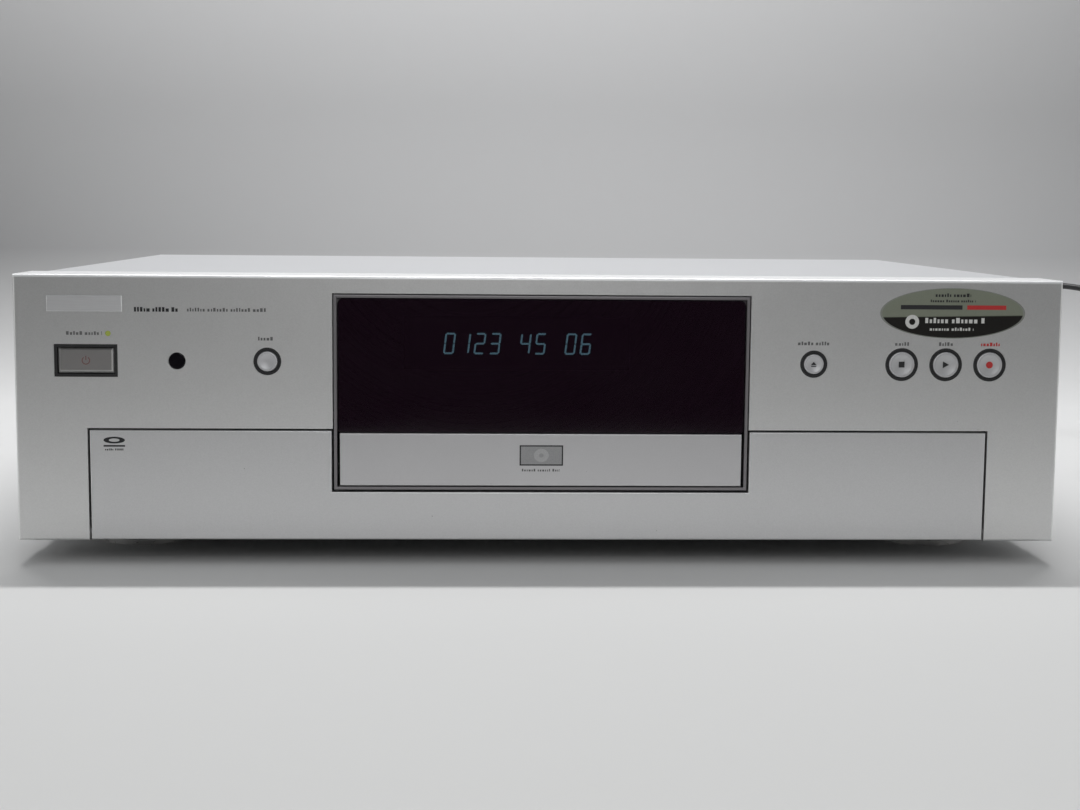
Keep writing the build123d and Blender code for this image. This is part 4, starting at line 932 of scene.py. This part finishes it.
symbolValues = {
    "near": 0.08,
    "far": 0.26,
    "size": 1.45,
    # the arrow and the square are smaller, so that all look alike in size
    "smaller": 0.85,
    # shares of the size: the arrow's foot and tip, the bar below it, and the foot of the triangle
    "arrow": (0.35, 0.8),
    "arrowBar": (0.95, 0.6),
    "playFoot": 0.8,
}
standbyValues = {
    # this key has no dish
    "near": 0.05,
    "far": 0.2,
    "size": 1.7,
    "line": 0.36,
    "from": 125,
    "to": 415,
    "corners": 24,
    "stroke": (0.1, 1.15),
}


def openSymbol(shape, x, z, v):
    s = v["size"] * v["smaller"]
    foot, tip = v["arrow"]
    low, high = v["arrowBar"]
    prism(shape, [(x - s, z - s * foot), (x + s, z - s * foot), (x, z + s * tip)], v["near"], v["far"])
    bar(shape, x - s, x + s, z - s * low, z - s * high, v["near"], v["far"])


def stopSymbol(shape, x, z, v):
    s = v["size"] * v["smaller"]
    bar(shape, x - s, x + s, z - s, z + s, v["near"], v["far"])


def playSymbol(shape, x, z, v):
    s, foot = v["size"], v["size"] * v["playFoot"]
    prism(shape, [(x - foot, z - s), (x + s, z), (x - foot, z + s)], v["near"], v["far"])


def recordSymbol(shape, x, z, v):
    prism(shape, arc(x, z, v["size"], 0, 350, 35), v["near"], v["far"])


def standbySymbol(shape, x, z, v):
    # a broken ring with a stroke
    r, half = v["size"], v["line"] / 2
    low, high = v["stroke"]
    ring(shape, x, z, r - v["line"], r, v["near"], v["far"], 0, v["from"], v["to"], count=v["corners"])
    bar(shape, x - half, x + half, z + r * low, z + r * high, v["near"], v["far"])


def markKey(name, key, ink, draw, v):
    middle = middleOf(key)
    newPiece(name, key + "_cap", [inks[ink]], lambda shape: draw(shape, middle.x, middle.z, v))


markKey("open_symbol", "open_close_button", "black", openSymbol, symbolValues)
markKey("stop_symbol", "stop_button", "black", stopSymbol, symbolValues)
markKey("play_symbol", "play_button", "black", playSymbol, symbolValues)
markKey("record_symbol", "record_button", "red", recordSymbol, symbolValues)
markKey("standby_symbol", "standby_button", "faded_red", standbySymbol, standbyValues)
print("prints and symbols made")


# lit characters of the display, behind the smoked window

displayValues = {
    "left": -41.7,
    "right": 19.3,
    "low": 88.5,
    "high": 97.4,
    "depth": 9.35,
    "thick": 0.1,
    "width": 4.4,
    "stroke": 0.75,
    "slant": 0.12,
    # how far a stroke's ends give way and how far their tips stand out, in halves of a stroke
    "trim": 0.7,
    "tip": 0.5,
    # which strokes of each cell are lit: a counter in groups of four, two and two
    "cells": ["abcdef", "bc", "abged", "abgcd", "", "fgbc", "afgcd", "", "abcdef", "afgcde"],
}
strokeEnds = {
    "a": ((0, 1), (1, 1)), "b": ((1, 1), (1, 0.5)), "c": ((1, 0.5), (1, 0)), "d": ((0, 0), (1, 0)),
    "e": ((0, 0), (0, 0.5)), "f": ((0, 0.5), (0, 1)), "g": ((0, 0.5), (1, 0.5)),
}


def behindWindow(x, z, depth):
    # the point at that depth that the camera sees through (x, z) of the front face
    eye = (Vector(cameraValues["place"]) - Vector((0, panelLow.y, 0))) * 1000
    share = (depth - eye.y) / -eye.y
    return eye.x + (x - eye.x) * share, eye.z + (z - eye.z) * share


def litCharacters(shape):
    v = displayValues
    pitch = (v["right"] - v["left"] - v["width"]) / (len(v["cells"]) - 1)
    half = v["stroke"] / 2
    reach = Vector((v["width"] - v["stroke"], v["high"] - v["low"] - v["stroke"]))
    for i, strokes in enumerate(v["cells"]):
        corner = Vector((v["left"] + i * pitch + half, v["low"] + half))
        for stroke in strokes:
            start, end = [corner + Vector(place) * reach for place in strokeEnds[stroke]]
            along = (end - start).normalized() * half
            side = Vector((-along.y, along.x))
            a, b = start + along * v["trim"], end - along * v["trim"]
            tip = along * v["tip"]
            corners = [a + side, a - tip, a - side, b - side, b + tip, b + side]
            leaned = [(c.x + (c.y - v["low"]) * v["slant"], c.y) for c in corners]
            outline = [behindWindow(x, z, v["depth"]) for x, z in leaned]
            prism(shape, outline, v["depth"], v["depth"] + v["thick"])


newPiece("lit_characters", "housing", [glows["lit_segment"]], litCharacters)
print("display lit")


# the sticker's drawing: plain bars and a ring on its two-tone foil, offset from its middle

stickerMarks = {
    "proud": 0.05,
    "sunk": 0.05,
    "upperLines": [(-7.5, 7.5, 7.6, 1.5, 50, 0, 0.3, 6), (-9.5, 9.5, 5.2, 1.1, 51, 0, 0.3, 6)],
    "bars": [(-22.0, 4.0, 1.6, 3.4, 0), (6.0, 22.5, 1.6, 3.4, 2)],
    "ring": (-17.0, -3.6, 1.3, 2.9),
    "lowerLines": [(-11.5, 13.5, -3.0, 2.2, 61, 1, 0.3, 6), (-9.5, 9.0, -6.6, 1.3, 62, 1, 0.35, 7)],
}


def stickerPrint(shape):
    v = stickerMarks
    x, _, z = middleOf("oval_label")
    face = fromFront("oval_label")[0].y
    y0, y1 = face - v["proud"], face + v["sunk"]
    drawLines(shape, v["upperLines"], y0, y1, x, z)
    for x0, x1, z0, z1, ink in v["bars"]:
        bar(shape, x + x0, x + x1, z + z0, z + z1, y0, y1, ink)
    ringX, ringZ, inner, outer = v["ring"]
    ring(shape, x + ringX, z + ringZ, inner, outer, y0, y1, 1)
    drawLines(shape, v["lowerLines"], y0, y1, x, z)


newPiece("sticker_print", "housing", [inks["black"], inks["pale"], inks["red"]], stickerPrint)
print("sticker drawn")


# geometry nodes: each tree puts one small shape on every loose point, turned to the point's facing

treeValues = {
    "screwSides": 20,
    "screwSteps": 5,
    "doming": 0.34,
    "domePower": 3.0,
    "slotWidth": 0.22,
    "slotHeight": 0.95,
    "collarCorners": 36,
    "canSides": 24,
    "canSteps": 8,
    # the groove of a can: where it is, half its height and its depth, as shares
    "groove": (0.125, 0.01, 0.09),
    "canRim": (0.99, 0.12),
}


def geometryTree(name, inputs):
    tree = bpy.data.node_groups.new(name, "GeometryNodeTree")
    tree.interface.new_socket("Geometry", in_out="INPUT", socket_type="NodeSocketGeometry")
    for label, kind in inputs.items():
        tree.interface.new_socket(label, in_out="INPUT", socket_type="NodeSocket" + kind)
    tree.interface.new_socket("Geometry", in_out="OUTPUT", socket_type="NodeSocketGeometry")
    given = tree.nodes.new("NodeGroupInput")
    return Field(tree), {socket.name: Field(tree, socket) for socket in given.outputs if socket.name}


def narrowed(blank, kept, height):
    # a blank with its outline drawn in, standing on its foot
    place = blank.node("GeometryNodeInputPosition").vector("MULTIPLY", blank.combined(kept, kept, 1.0))
    lift = blank.combined(0.0, 0.0, height * 0.5)
    return blank.node("GeometryNodeSetPosition", {"Geometry": blank, "Position": place, "Offset": lift})


def placeOnPoints(given, shape, turn=0.0):
    facing = shape.node("GeometryNodeInputNamedAttribute", {"Name": "facing"}, data_type="FLOAT_VECTOR")
    aligned = shape.node("FunctionNodeAlignRotationToVector", {"Vector": facing}, axis="Z")
    spin = shape.node("FunctionNodeAxisAngleToRotation", {"Axis": (0, 0, 1), "Angle": turn})
    turned = shape.node("FunctionNodeRotateRotation", {"Rotation": aligned, "Rotate By": spin},
                        rotation_space="LOCAL")
    placed = shape.node("GeometryNodeInstanceOnPoints",
                        {"Points": given["Geometry"], "Instance": shape, "Rotation": turned})
    real = shape.node("GeometryNodeRealizeInstances", {0: placed})
    finished = shape.node("GeometryNodeSetMaterial", {"Geometry": real, "Material": given["Material"]})
    shape.tree.links.new(finished.socket, shape.tree.nodes.new("NodeGroupOutput").inputs[0])
    return shape.tree


def screwTree(v):
    # a domed head with a cross recess, turned at random
    start, given = geometryTree("screw_heads", {
        "Radius": "Float", "Height": "Float", "Recess": "Float", "Seed": "Int", "Material": "Material"})
    height, recess = given["Height"], given["Recess"]
    blank = start.node("GeometryNodeMeshCylinder", {
        "Vertices": v["screwSides"], "Side Segments": v["screwSteps"], "Radius": given["Radius"],
        "Depth": height})
    rise = start.node("GeometryNodeInputPosition").axes()[2] / height + 0.5
    head = narrowed(blank, 1.0 - rise ** v["domePower"] * v["doming"], height)
    for across in (0.0, math.pi / 2):
        slot = start.node("GeometryNodeMeshCube", {
            "Size": start.combined(recess, recess * v["slotWidth"], height)})
        slot = start.node("GeometryNodeTransform", {
            "Geometry": slot, "Translation": start.combined(0.0, 0.0, height * v["slotHeight"]),
            "Rotation": (0, 0, across)})
        head = start.node("GeometryNodeMeshBoolean", {"Mesh 1": head, "Mesh 2": slot},
                          operation="DIFFERENCE", solver="EXACT")
    turn = start.node("FunctionNodeRandomValue", {2: 0.0, 3: math.pi / 2, "Seed": given["Seed"]}, 1,
                      data_type="FLOAT")
    return placeOnPoints(given, head, turn)


def collarTree(v):
    # a flat ring that stands on its point
    start, given = geometryTree("collars", {
        "Inner": "Float", "Outer": "Float", "Thickness": "Float", "Material": "Material"})
    inner, outer, thickness = given["Inner"], given["Outer"], given["Thickness"]
    path = start.node("GeometryNodeCurvePrimitiveCircle", {
        "Resolution": v["collarCorners"], "Radius": (inner + outer) * 0.5})
    section = start.node("GeometryNodeCurvePrimitiveQuadrilateral", {
        "Width": outer - inner, "Height": thickness})
    band = start.node("GeometryNodeCurveToMesh", {"Curve": path, "Profile Curve": section})
    flat = start.node("GeometryNodeSetShadeSmooth", {"Geometry": band, "Shade Smooth": False})
    lift = start.combined(0.0, 0.0, thickness * 0.5)
    return placeOnPoints(given, start.node("GeometryNodeTransform", {"Geometry": flat, "Translation": lift}))


def barTree():
    # a bar with its far edges narrowed, standing on its point
    start, given = geometryTree("small_bars", {
        "Size": "Vector", "Narrowing": "Float", "Material": "Material"})
    block = start.node("GeometryNodeMeshCube", {"Size": given["Size"]})
    high = start.node("GeometryNodeInputPosition").axes()[2] > 0.0
    depth = given["Size"].axes()[2]
    return placeOnPoints(given, narrowed(block, 1.0 - high * given["Narrowing"], depth))


def canTree(v):
    # a capacitor can with its groove and its rolled upper edge
    start, given = geometryTree("cans", {"Radius": "Float", "Height": "Float", "Material": "Material"})
    height = given["Height"]
    body = start.node("GeometryNodeMeshCylinder", {
        "Vertices": v["canSides"], "Side Segments": v["canSteps"], "Radius": given["Radius"],
        "Depth": height})
    rise = start.node("GeometryNodeInputPosition").axes()[2] / height + 0.5
    grooveAt, grooveHalf, grooveDepth = v["groove"]
    rimFrom, rimDepth = v["canRim"]
    kept = 1.0 - (abs(rise - grooveAt) < grooveHalf) * grooveDepth - (rise > rimFrom) * rimDepth
    return placeOnPoints(given, narrowed(body, kept, height))


def repeated(name, tree, places, values, material, body="housing"):
    # places are (point, facing) pairs; the result is a plain mesh
    mesh = bpy.data.meshes.new(name + "_points")
    mesh.from_pydata([point for point, _ in places], [], [])
    facing = mesh.attributes.new("facing", "FLOAT_VECTOR", "POINT")
    for item, (_, way) in zip(facing.data, places):
        item.vector = way
    source = addObject(name + "_points", mesh)
    modifier = source.modifiers.new("shapes", "NODES")
    modifier.node_group = tree
    identifiers = {item.name: item.identifier for item in tree.interface.items_tree if item.in_out == "INPUT"}
    for label, value in {**values, "Material": material}.items():
        modifier[identifiers[label]] = value
    graph = bpy.context.evaluated_depsgraph_get()
    made = bpy.data.meshes.new_from_object(source.evaluated_get(graph), depsgraph=graph)
    made.name = name
    bpy.data.objects.remove(source)
    piece = addObject(name, made)
    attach(piece, body)


screws, collars, bars, cans = screwTree(treeValues), collarTree(treeValues), barTree(), canTree(treeValues)
rear, front, up, down = (0, 1, 0), (0, -1, 0), (0, 0, 1), (0, 0, -1)


# screws: the cover's, the rear panel's and the ones under the base

rearFace = fromFront("rear_panel")[1].y
screwValues = {
    "rear": {"Radius": 0.0029, "Height": 0.0013, "Recess": 0.0036, "Seed": 4},
    "small": {"Radius": 0.0021, "Height": 0.0010, "Recess": 0.0026, "Seed": 7},
    "side": {"Radius": 0.0036, "Height": 0.0005, "Recess": 0.0040, "Seed": 2},
    "under": {"Radius": 0.0031, "Height": 0.0013, "Recess": 0.0038, "Seed": 9},
    "rearPlaces": [
        (-205, 114), (-68, 114), (68, 114), (150, 114), (-205, 16), (-100, 16), (100, 16), (206, 16),
        (206, 62),
    ],
    "fanReach": 20.0,
    "smallPlaces": [(13.5, 43.6), (74.5, 43.6), (9, 37.6), (-60, 37.6), (-175, 46.6)],
    "sidePlaces": [(58, 24), (300, 24)],
    "underPlaces": [
        (-205, 32), (0, 26), (205, 32), (-205, 170), (205, 170), (-205, 316), (-70, 316), (70, 316),
        (205, 316), (-63, 32), (63, 32), (-63, 198), (63, 198), (98, 66), (98, 290), (-122, 120),
    ],
}


def driveScrews(v):
    fan, reach = middleOf("fan_housing"), v["fanReach"]
    side = fromFront("top_cover")[1].x
    base = fromFront("base_chassis")[0].z
    corners = [(fan.x + i * reach, fan.z + j * reach) for i in (-1, 1) for j in (-1, 1)]
    behind = [(at(x, rearFace, z), rear) for x, z in v["rearPlaces"] + corners]
    small = [(at(x, rearFace, z), rear) for x, z in v["smallPlaces"]]
    beside = [(at(way * side, y, z), (way, 0, 0)) for way in (-1, 1) for y, z in v["sidePlaces"]]
    under = [(at(x, y, base), down) for x, y in v["underPlaces"]]
    repeated("rear_screws", screws, behind, v["rear"], metals["screw"])
    repeated("socket_screws", screws, small, v["small"], metals["screw"])
    repeated("cover_screws", screws, beside, v["side"], metals["screw"])
    repeated("base_screws", screws, under, v["under"], metals["screw"])


driveScrews(screwValues)
print("screws in")


# sockets: coloured inserts and collars, contacts and pins

socketValues = {
    "colours": ["yellow", "white", "red", "chip"],
    "rearColumns": [-46, -32, -18, -4],
    "rearRows": [30.6, 44.6],
    "rearInsert": 333.0,
    "frontColumns": [112.2, 127.2, 142.2],
    "frontRow": 36.0,
    "frontInsert": 9.0,
    "frontWall": 16.0,
    "insert": {"Inner": 0.0017, "Outer": 0.0034, "Thickness": 0.00025},
    "collar": {"Inner": 0.0042, "Outer": 0.0058, "Thickness": 0.0010},
    "aerials": [(-188, 33.6), (-188, 59.6)],
    "aerialInsertAt": 330.5,
    "aerialInsert": {"Inner": 0.0010, "Outer": 0.0036, "Thickness": 0.0006},
    "aerialNut": {"Inner": 0.0049, "Outer": 0.0068, "Thickness": 0.0016},
    "scartX": 44.0,
    "scartRows": [28.0, 52.0],
    "scartPitch": 3.81,
    "scartCount": 10,
    "scartMiddle": 319.1,
    "scartHalfGap": 1.0,
    "blade": {"Size": (0.0013, 0.0058, 0.0003), "Narrowing": 0.15},
    "videoX": 157.2,
    "videoFloor": 21.0,
    "videoPins": [(-2.1, 1.1), (2.1, 1.1), (-1.1, -1.8), (1.1, -1.8)],
    "videoPin": {"Inner": 0.0003, "Outer": 0.0007, "Thickness": 0.0004},
}


def dressPhonos(v):
    groups = {}

    def put(colour, x, z, insertAt, wall, way):
        groups.setdefault(("insert", colour), []).append((at(x, insertAt, z), way))
        groups.setdefault(("collar", colour), []).append((at(x, wall, z), way))

    for x, colour in zip(v["rearColumns"], v["colours"]):
        for z in v["rearRows"]:
            put(colour, x, z, v["rearInsert"], rearFace, rear)
    for x, colour in zip(v["frontColumns"], v["colours"]):
        put(colour, x, v["frontRow"], v["frontInsert"], v["frontWall"], front)
    for (kind, colour), places in groups.items():
        repeated("socket_" + kind + "s_" + colour, collars, places, v[kind], plastics[colour])


def dressOtherSockets(v):
    inserts = [(at(x, v["aerialInsertAt"], z), rear) for x, z in v["aerials"]]
    repeated("aerial_inserts", collars, inserts, v["aerialInsert"], plastics["white"])
    nuts = [(at(x, rearFace, z), rear) for x, z in v["aerials"]]
    repeated("aerial_nuts", collars, nuts, v["aerialNut"], metals["tin"])
    blades = []
    for z in v["scartRows"]:
        for i in range(v["scartCount"]):
            x = v["scartX"] + (i - (v["scartCount"] - 1) / 2) * v["scartPitch"]
            blades.append((at(x, v["scartMiddle"], z + v["scartHalfGap"]), up))
            blades.append((at(x - v["scartPitch"] / 2, v["scartMiddle"], z - v["scartHalfGap"]), down))
    repeated("scart_contacts", bars, blades, v["blade"], metals["brass"])
    pins = [(at(v["videoX"] + x, v["videoFloor"], v["frontRow"] + z), front) for x, z in v["videoPins"]]
    repeated("video_contacts", collars, pins, v["videoPin"], metals["brass"])


dressPhonos(socketValues)
dressOtherSockets(socketValues)
print("sockets dressed")


# grips: ribs on the connector and the plug, where fingers pull

gripValues = {
    "ribs": 6,
    "pitch": 2.4,
    "connectorFrom": 328.5,
    "connectorRib": {"Size": (0.0150, 0.0011, 0.0005), "Narrowing": 0.12},
    "plugFrom": 172.0,
    "plugRib": {"Size": (0.0200, 0.0011, 0.0005), "Narrowing": 0.12},
}


def ribGrips(v):
    steps = [i * v["pitch"] for i in range(v["ribs"])]
    x = middleOf("mains_connector").x
    low, high = fromFront("mains_connector")
    places = []
    for step in steps:
        y = v["connectorFrom"] + step
        places += [(at(x, y, high.z), up), (at(x, y, low.z), down)]
    repeated("connector_ribs", bars, places, v["connectorRib"], plastics["cord"])
    x = middleOf("mains_plug").x
    top = fromFront("mains_plug")[1].z
    places = [(at(x, v["plugFrom"] + step, top), up) for step in steps]
    repeated("plug_ribs", bars, places, v["plugRib"], plastics["cord"])


ribGrips(gripValues)
print("grips ribbed")


# inside of the flap: stiffening ribs

flapRibValues = {
    "rib": {"Size": (0.0013, 0.0300, 0.0006), "Narrowing": 0.2},
    "pitch": 14.0,
    "ranges": [(-178, -96), (98, 178)],
    "middle": 36.0,
    "inside": 3.0,
}


def ribFlap(v):
    places = []
    for x0, x1 in v["ranges"]:
        count = int((x1 - x0) / v["pitch"])
        columns = [x0 + (x1 - x0) * i / count for i in range(count + 1)]
        places += [(at(x, v["inside"], v["middle"]), rear) for x in columns]
    repeated("flap_ribs", bars, places, v["rib"], silvers["silver_flap"], "flap")


ribFlap(flapRibValues)


# plain marks in the bay behind the flap

bayMarks = {
    "proud": 0.04,
    # legends over the keys and over the sockets: their middles, height and first seed
    "keys": ([-143, -125, -107], 41.2, 80),
    "sockets": ([112.2, 127.2, 142.2, 157.2], 46.5, 90),
    "half": 4.2,
    "height": 1.6,
    "gap": 0.3,
    "word": 6,
    # the line over the sockets, from the outer legends' middles and from their height
    "beyond": 7,
    "above": (2.6, 2.9),
}


def bayPrint(shape):
    v = bayMarks
    wall, half = socketValues["frontWall"], v["half"]
    y0, y1 = wall - v["proud"], wall + v["proud"]
    for middles, z, seed in (v["keys"], v["sockets"]):
        for i, x in enumerate(middles):
            greeked(shape, x - half, x + half, z, v["height"], y0, y1, seed + i, 0, v["gap"], v["word"])
    middles, z, seed = v["sockets"]
    low, high = v["above"]
    bar(shape, middles[0] - v["beyond"], middles[-1] + v["beyond"], z + low, z + high, y0, y1)


newPiece("bay_print", "housing", [inks["pale"]], bayPrint)
print("flap and bay dressed")


# rear panel's marks: frames round the socket groups, plain legends and a bare rating plate

rearMarks = {
    "proud": 0.03,
    "line": 0.5,
    "frames": [(12, 76, 20.5, 70.5), (-56, 6, 20.5, 55.5), (-206, -170, 24, 70)],
    "lines": [
        (20, 46, 68.4, 1.8, 110, 0, 0.3, 6), (20, 46, 43.6, 1.6, 111, 0, 0.3, 6),
        (-52, -20, 53.4, 1.8, 112, 0, 0.3, 6), (-12, 2, 53.4, 1.8, 113, 0, 0.3, 6),
        (-200, -176, 67.6, 1.7, 114, 0, 0.3, 6), (-200, -176, 50.2, 1.5, 115, 0, 0.3, 6),
        (152, 172, 92.0, 1.8, 116, 0, 0.3, 6), (-128, -92, 50.2, 1.6, 117, 0, 0.3, 6),
    ],
}
plateMarks = {
    "outline": (92, 164, 34, 62),
    "corner": 2.0,
    "thick": 0.12,
    "sunk": 0.03,
    "printSunk": 0.02,
    "printProud": 0.03,
    "lines": [
        (96, 160, 57.6, 2.4, 130, 0, 0.3, 6), (96, 150, 52.8, 1.5, 131, 0, 0.3, 6),
        (96, 156, 49.6, 1.5, 132, 0, 0.3, 6), (96, 140, 46.4, 1.5, 133, 0, 0.3, 6),
        (96, 152, 42.6, 1.5, 134, 0, 0.3, 6), (96, 132, 38.8, 1.5, 135, 0, 0.3, 6),
    ],
}


def rearPrint(shape):
    v = rearMarks
    y0, y1 = rearFace - v["proud"], rearFace + v["proud"]
    drawFrames(shape, v["frames"], v["line"], y0, y1)
    drawLines(shape, v["lines"], y0, y1)


def ratingPlate(shape):
    v = plateMarks
    face = rearFace + v["thick"]
    prism(shape, roundedOutline(*v["outline"], v["corner"]), rearFace - v["sunk"], face, 1)
    drawLines(shape, v["lines"], face - v["printSunk"], face + v["printProud"])


newPiece("rear_print", "housing", [inks["black"]], rearPrint)
newPiece("rating_plate", "housing", [inks["black"], metals["plate"]], ratingPlate)
print("rear marked")


# drive: the turntable's rubber ring, and the pickup's lens in its rim

driveValues = {
    "hub": 2.0,
    "ring": {"Inner": 0.0088, "Outer": 0.0132, "Thickness": 0.0004},
    "lensBack": 7.5,
    "lensRim": {"Inner": 0.0021, "Outer": 0.0030, "Thickness": 0.0004},
    "lensGlass": {"Inner": 0.0002, "Outer": 0.0021, "Thickness": 0.0002},
}


def dressDrive(v):
    middle = middleOf("turntable")
    spot = at(middle.x, middle.y, fromFront("turntable")[1].z - v["hub"])
    repeated("turntable_ring", collars, [(spot, up)], v["ring"], plastics["rubber"], "disc_table")
    low, high = fromFront("pickup_sled")
    lens = [(at(0, low.y + v["lensBack"], high.z), up)]
    repeated("lens_rim", collars, lens, v["lensRim"], metals["rod"], "sled")
    repeated("lens_glass", collars, lens, v["lensGlass"], glasses["tube_glass"], "sled")


dressDrive(driveValues)
print("drive dressed")


# boards: chips, cans and white connectors

boardValues = {
    "chip": {"Size": (0.0140, 0.0140, 0.0022), "Narrowing": 0.04},
    "chipPlaces": [(-190, 84), (-168, 84), (-118, 90), (-190, 200), (-166, 226), (-120, 232)],
    "processor": {"Size": (0.0280, 0.0280, 0.0034), "Narrowing": 0.03},
    "processorPlaces": [(-146, 130), (-150, 186)],
    "plug": {"Size": (0.0220, 0.0060, 0.0080), "Narrowing": 0.05},
    "plugPlaces": [(-112, 66), (-160, 66), (-110, 250), (104, 285), (150, 286), (186, 70)],
    "can": {"Radius": 0.0040, "Height": 0.0110},
    "canPlaces": [
        (-196, 110), (-184, 110), (-196, 124), (-110, 112), (-110, 126), (-98, 112), (-196, 150), (-184, 150),
        (-110, 200), (-98, 200), (104, 190), (104, 206), (104, 222), (150, 84), (164, 84), (150, 100),
        (184, 250), (198, 250), (184, 266),
    ],
}


def fitBoards(v):
    top = fromFront("main_board")[1].z
    kinds = {"chip": (bars, "chip"), "processor": (bars, "chip"), "plug": (bars, "white"),
             "can": (cans, "sleeve")}
    for kind, (tree, plastic) in kinds.items():
        places = [(at(x, y, top), up) for x, y in v[kind + "Places"]]
        repeated("board_" + kind + "s", tree, places, v[kind], plastics[plastic])


fitBoards(boardValues)
print("boards dressed")


# sweep, lights and world

stageValues = {
    "front": -5.0,
    # the table nearer than this and wider than this throws no light back
    "litFrom": -0.57,
    "litHalf": 2.6,
    "rear": 6.0,
    "rearDrop": 0.0003,
    "flatRows": (0.1, 0.3),
    "curveStart": 0.42,
    "wall": 0.66,
    "top": 1.5,
    "halfWidth": 6.0,
    "segments": 24,
    # tones of the sheet, with painted shade: floor from front to back, darker at the front, foot and top of
    # the wall, darker at the foot
    "floorNear": (0.64, 0.64, 0.635),
    "floorFar": (0.80, 0.80, 0.80),
    "floorTurn": (0.0, 0.45),
    "wallLow": (0.435, 0.435, 0.44),
    "wallTop": (0.605, 0.605, 0.61),
    "rise": (0.0, 0.112),
    "riseBend": 0.7,
    "wallHeight": 0.36,
    # painted shade: how the wall darkens sideways, at its foot and its top
    "paintedSideShade": (1.1, 0.66),
    "sideMiddle": (0.15, 0.015),
    "sideLeast": 0.45,
    "roughness": 0.85,
    "specular": 0.25,
    "fibre": (60.0, 4.0, 0.6),
    "fine": (900.0, 2.0),
    "fibreShare": 0.6,
    "paperDark": (0.985, 0.985, 0.985),
    "paperLight": (1.0, 1.0, 1.0),
    "depth": 0.00002,
}
lightValues = {
    "strip": {"place": (0.0, 0.162, 1.0), "aim": (0.0, 0.162, 0.0), "size": (0.9, 0.045), "power": 8.2},
    "ceiling": {"place": (0.0, 0.45, 1.3), "aim": (0.0, 0.2, 0.0), "size": (1.4, 0.7), "power": 1.8},
    "fill": {"place": (0.0, -0.85, 0.40), "aim": (0.0, -0.166, 0.08), "size": (0.30, 0.3), "power": 0.95},
}
worldValues = {
    "above": (0.28, 0.29, 0.30),
    "aboveFrom": (0.12, 0.6),
    # the tent's side walls come down to the table, its front is open and dark
    "beside": (0.70, 0.705, 0.70),
    "besideFrom": (0.45, 0.85),
    "below": (0.012, 0.012, 0.012),
    "background": (0.47, 0.47, 0.47),
}


def sweepPaper(v):
    f = Finish("sweep_paper", roughness=v["roughness"], specular=v["specular"])
    x, y, z = f.axes()
    fine = f.noise(*v["fine"])
    # painted shade: the floor darker towards the front, the wall darker at its foot and towards its sides
    floor = y.step(*v["floorTurn"]).mix(v["floorNear"], v["floorFar"])
    upwards = z.mapped(v["rise"][1], v["wallHeight"])
    offSide = x - upwards.spread(*v["sideMiddle"])
    kept = 1.0 - offSide * offSide * upwards.spread(*v["paintedSideShade"])
    wall = upwards.mix(v["wallLow"], v["wallTop"]).scaled(kept.most(v["sideLeast"]))
    sheet = (z.mapped(*v["rise"]) ** v["riseBend"]).mix(floor, wall)
    paper = f.noise(*v["fibre"]).blend(fine, v["fibreShare"]).mix(v["paperDark"], v["paperLight"])
    f.set("colour", sheet.vector("MULTIPLY", paper))
    # clear from behind, and outside the lit part for all but the camera
    back = f.start.node("ShaderNodeNewGeometry", output="Backfacing")
    seen = f.start.node("ShaderNodeLightPath", output="Is Camera Ray")
    outside = (y < v["litFrom"]).most(abs(x) > v["litHalf"])
    hidden = back.most(outside * (1.0 - seen))
    clear = f.start.node("ShaderNodeBsdfTransparent")
    shaded = Field(f.tree, f.shader.outputs[0])
    mixed = f.start.node("ShaderNodeMixShader", {0: hidden, 1: shaded, 2: clear})
    f.tree.links.new(mixed.socket, f.tree.nodes["Material Output"].inputs["Surface"])
    return f.bump(fine, v["depth"])


def makeSheet(name, profile, halfWidth, material):
    # rows from near to far, so that the sheet faces up and to the front
    def build(shape):
        rows = [[shape.verts.new((side * halfWidth, y, z)) for side in (-1, 1)] for y, z in profile]
        for near, far in zip(rows, rows[1:]):
            shape.faces.new((near[0], near[1], far[1], far[0])).smooth = True

    sheet = meshObject(name, [material], build)


def makeSweep(v):
    paper = sweepPaper(v)
    radius = v["wall"] - v["curveStart"]
    profile = [(y, 0.0) for y in (v["front"], v["litFrom"], *v["flatRows"])]
    for i in range(v["segments"] + 1):
        angle = math.pi / 2 * i / v["segments"]
        profile.append((v["curveStart"] + radius * math.sin(angle), radius * (1 - math.cos(angle))))
    profile.append((v["wall"], v["top"]))
    makeSheet("sweep", profile, v["halfWidth"], paper)
    behind = [(y, -v["rearDrop"]) for y in (v["curveStart"], v["rear"])]
    makeSheet("table_behind", behind, v["halfWidth"], paper)


def makeLight(name, v):
    data = bpy.data.lights.new(name, "AREA")
    data.shape = "RECTANGLE"
    data.size, data.size_y = v["size"]
    data.energy = v["power"]
    light = addObject(name, data)
    light.location = v["place"]
    light.rotation_euler = (Vector(v["aim"]) - Vector(v["place"])).to_track_quat("-Z", "Y").to_euler()


def makeWorld(v):
    world = bpy.data.worlds.new("room")
    bpy.context.scene.world = world
    world.use_nodes = True
    tree = world.node_tree
    start = Field(tree)
    x, _, z = start.node("ShaderNodeTexCoord", output="Generated").axes()
    upper = z.mapped(*v["aboveFrom"]).mix(v["below"], v["above"])
    lit = abs(x).mapped(*v["besideFrom"]).mix(upper, v["beside"])
    camera = start.node("ShaderNodeLightPath", output="Is Camera Ray")
    through = start.node("ShaderNodeLightPath", output="Is Transmission Ray")
    shown = camera.most(through).mix(lit, v["background"])
    tree.links.new(shown.socket, tree.nodes["Background"].inputs["Color"])


makeSweep(stageValues)
for name, values in lightValues.items():
    makeLight(name, values)
makeWorld(worldValues)
bpy.context.scene.view_settings.view_transform = "Standard"
print("stage and lights made")
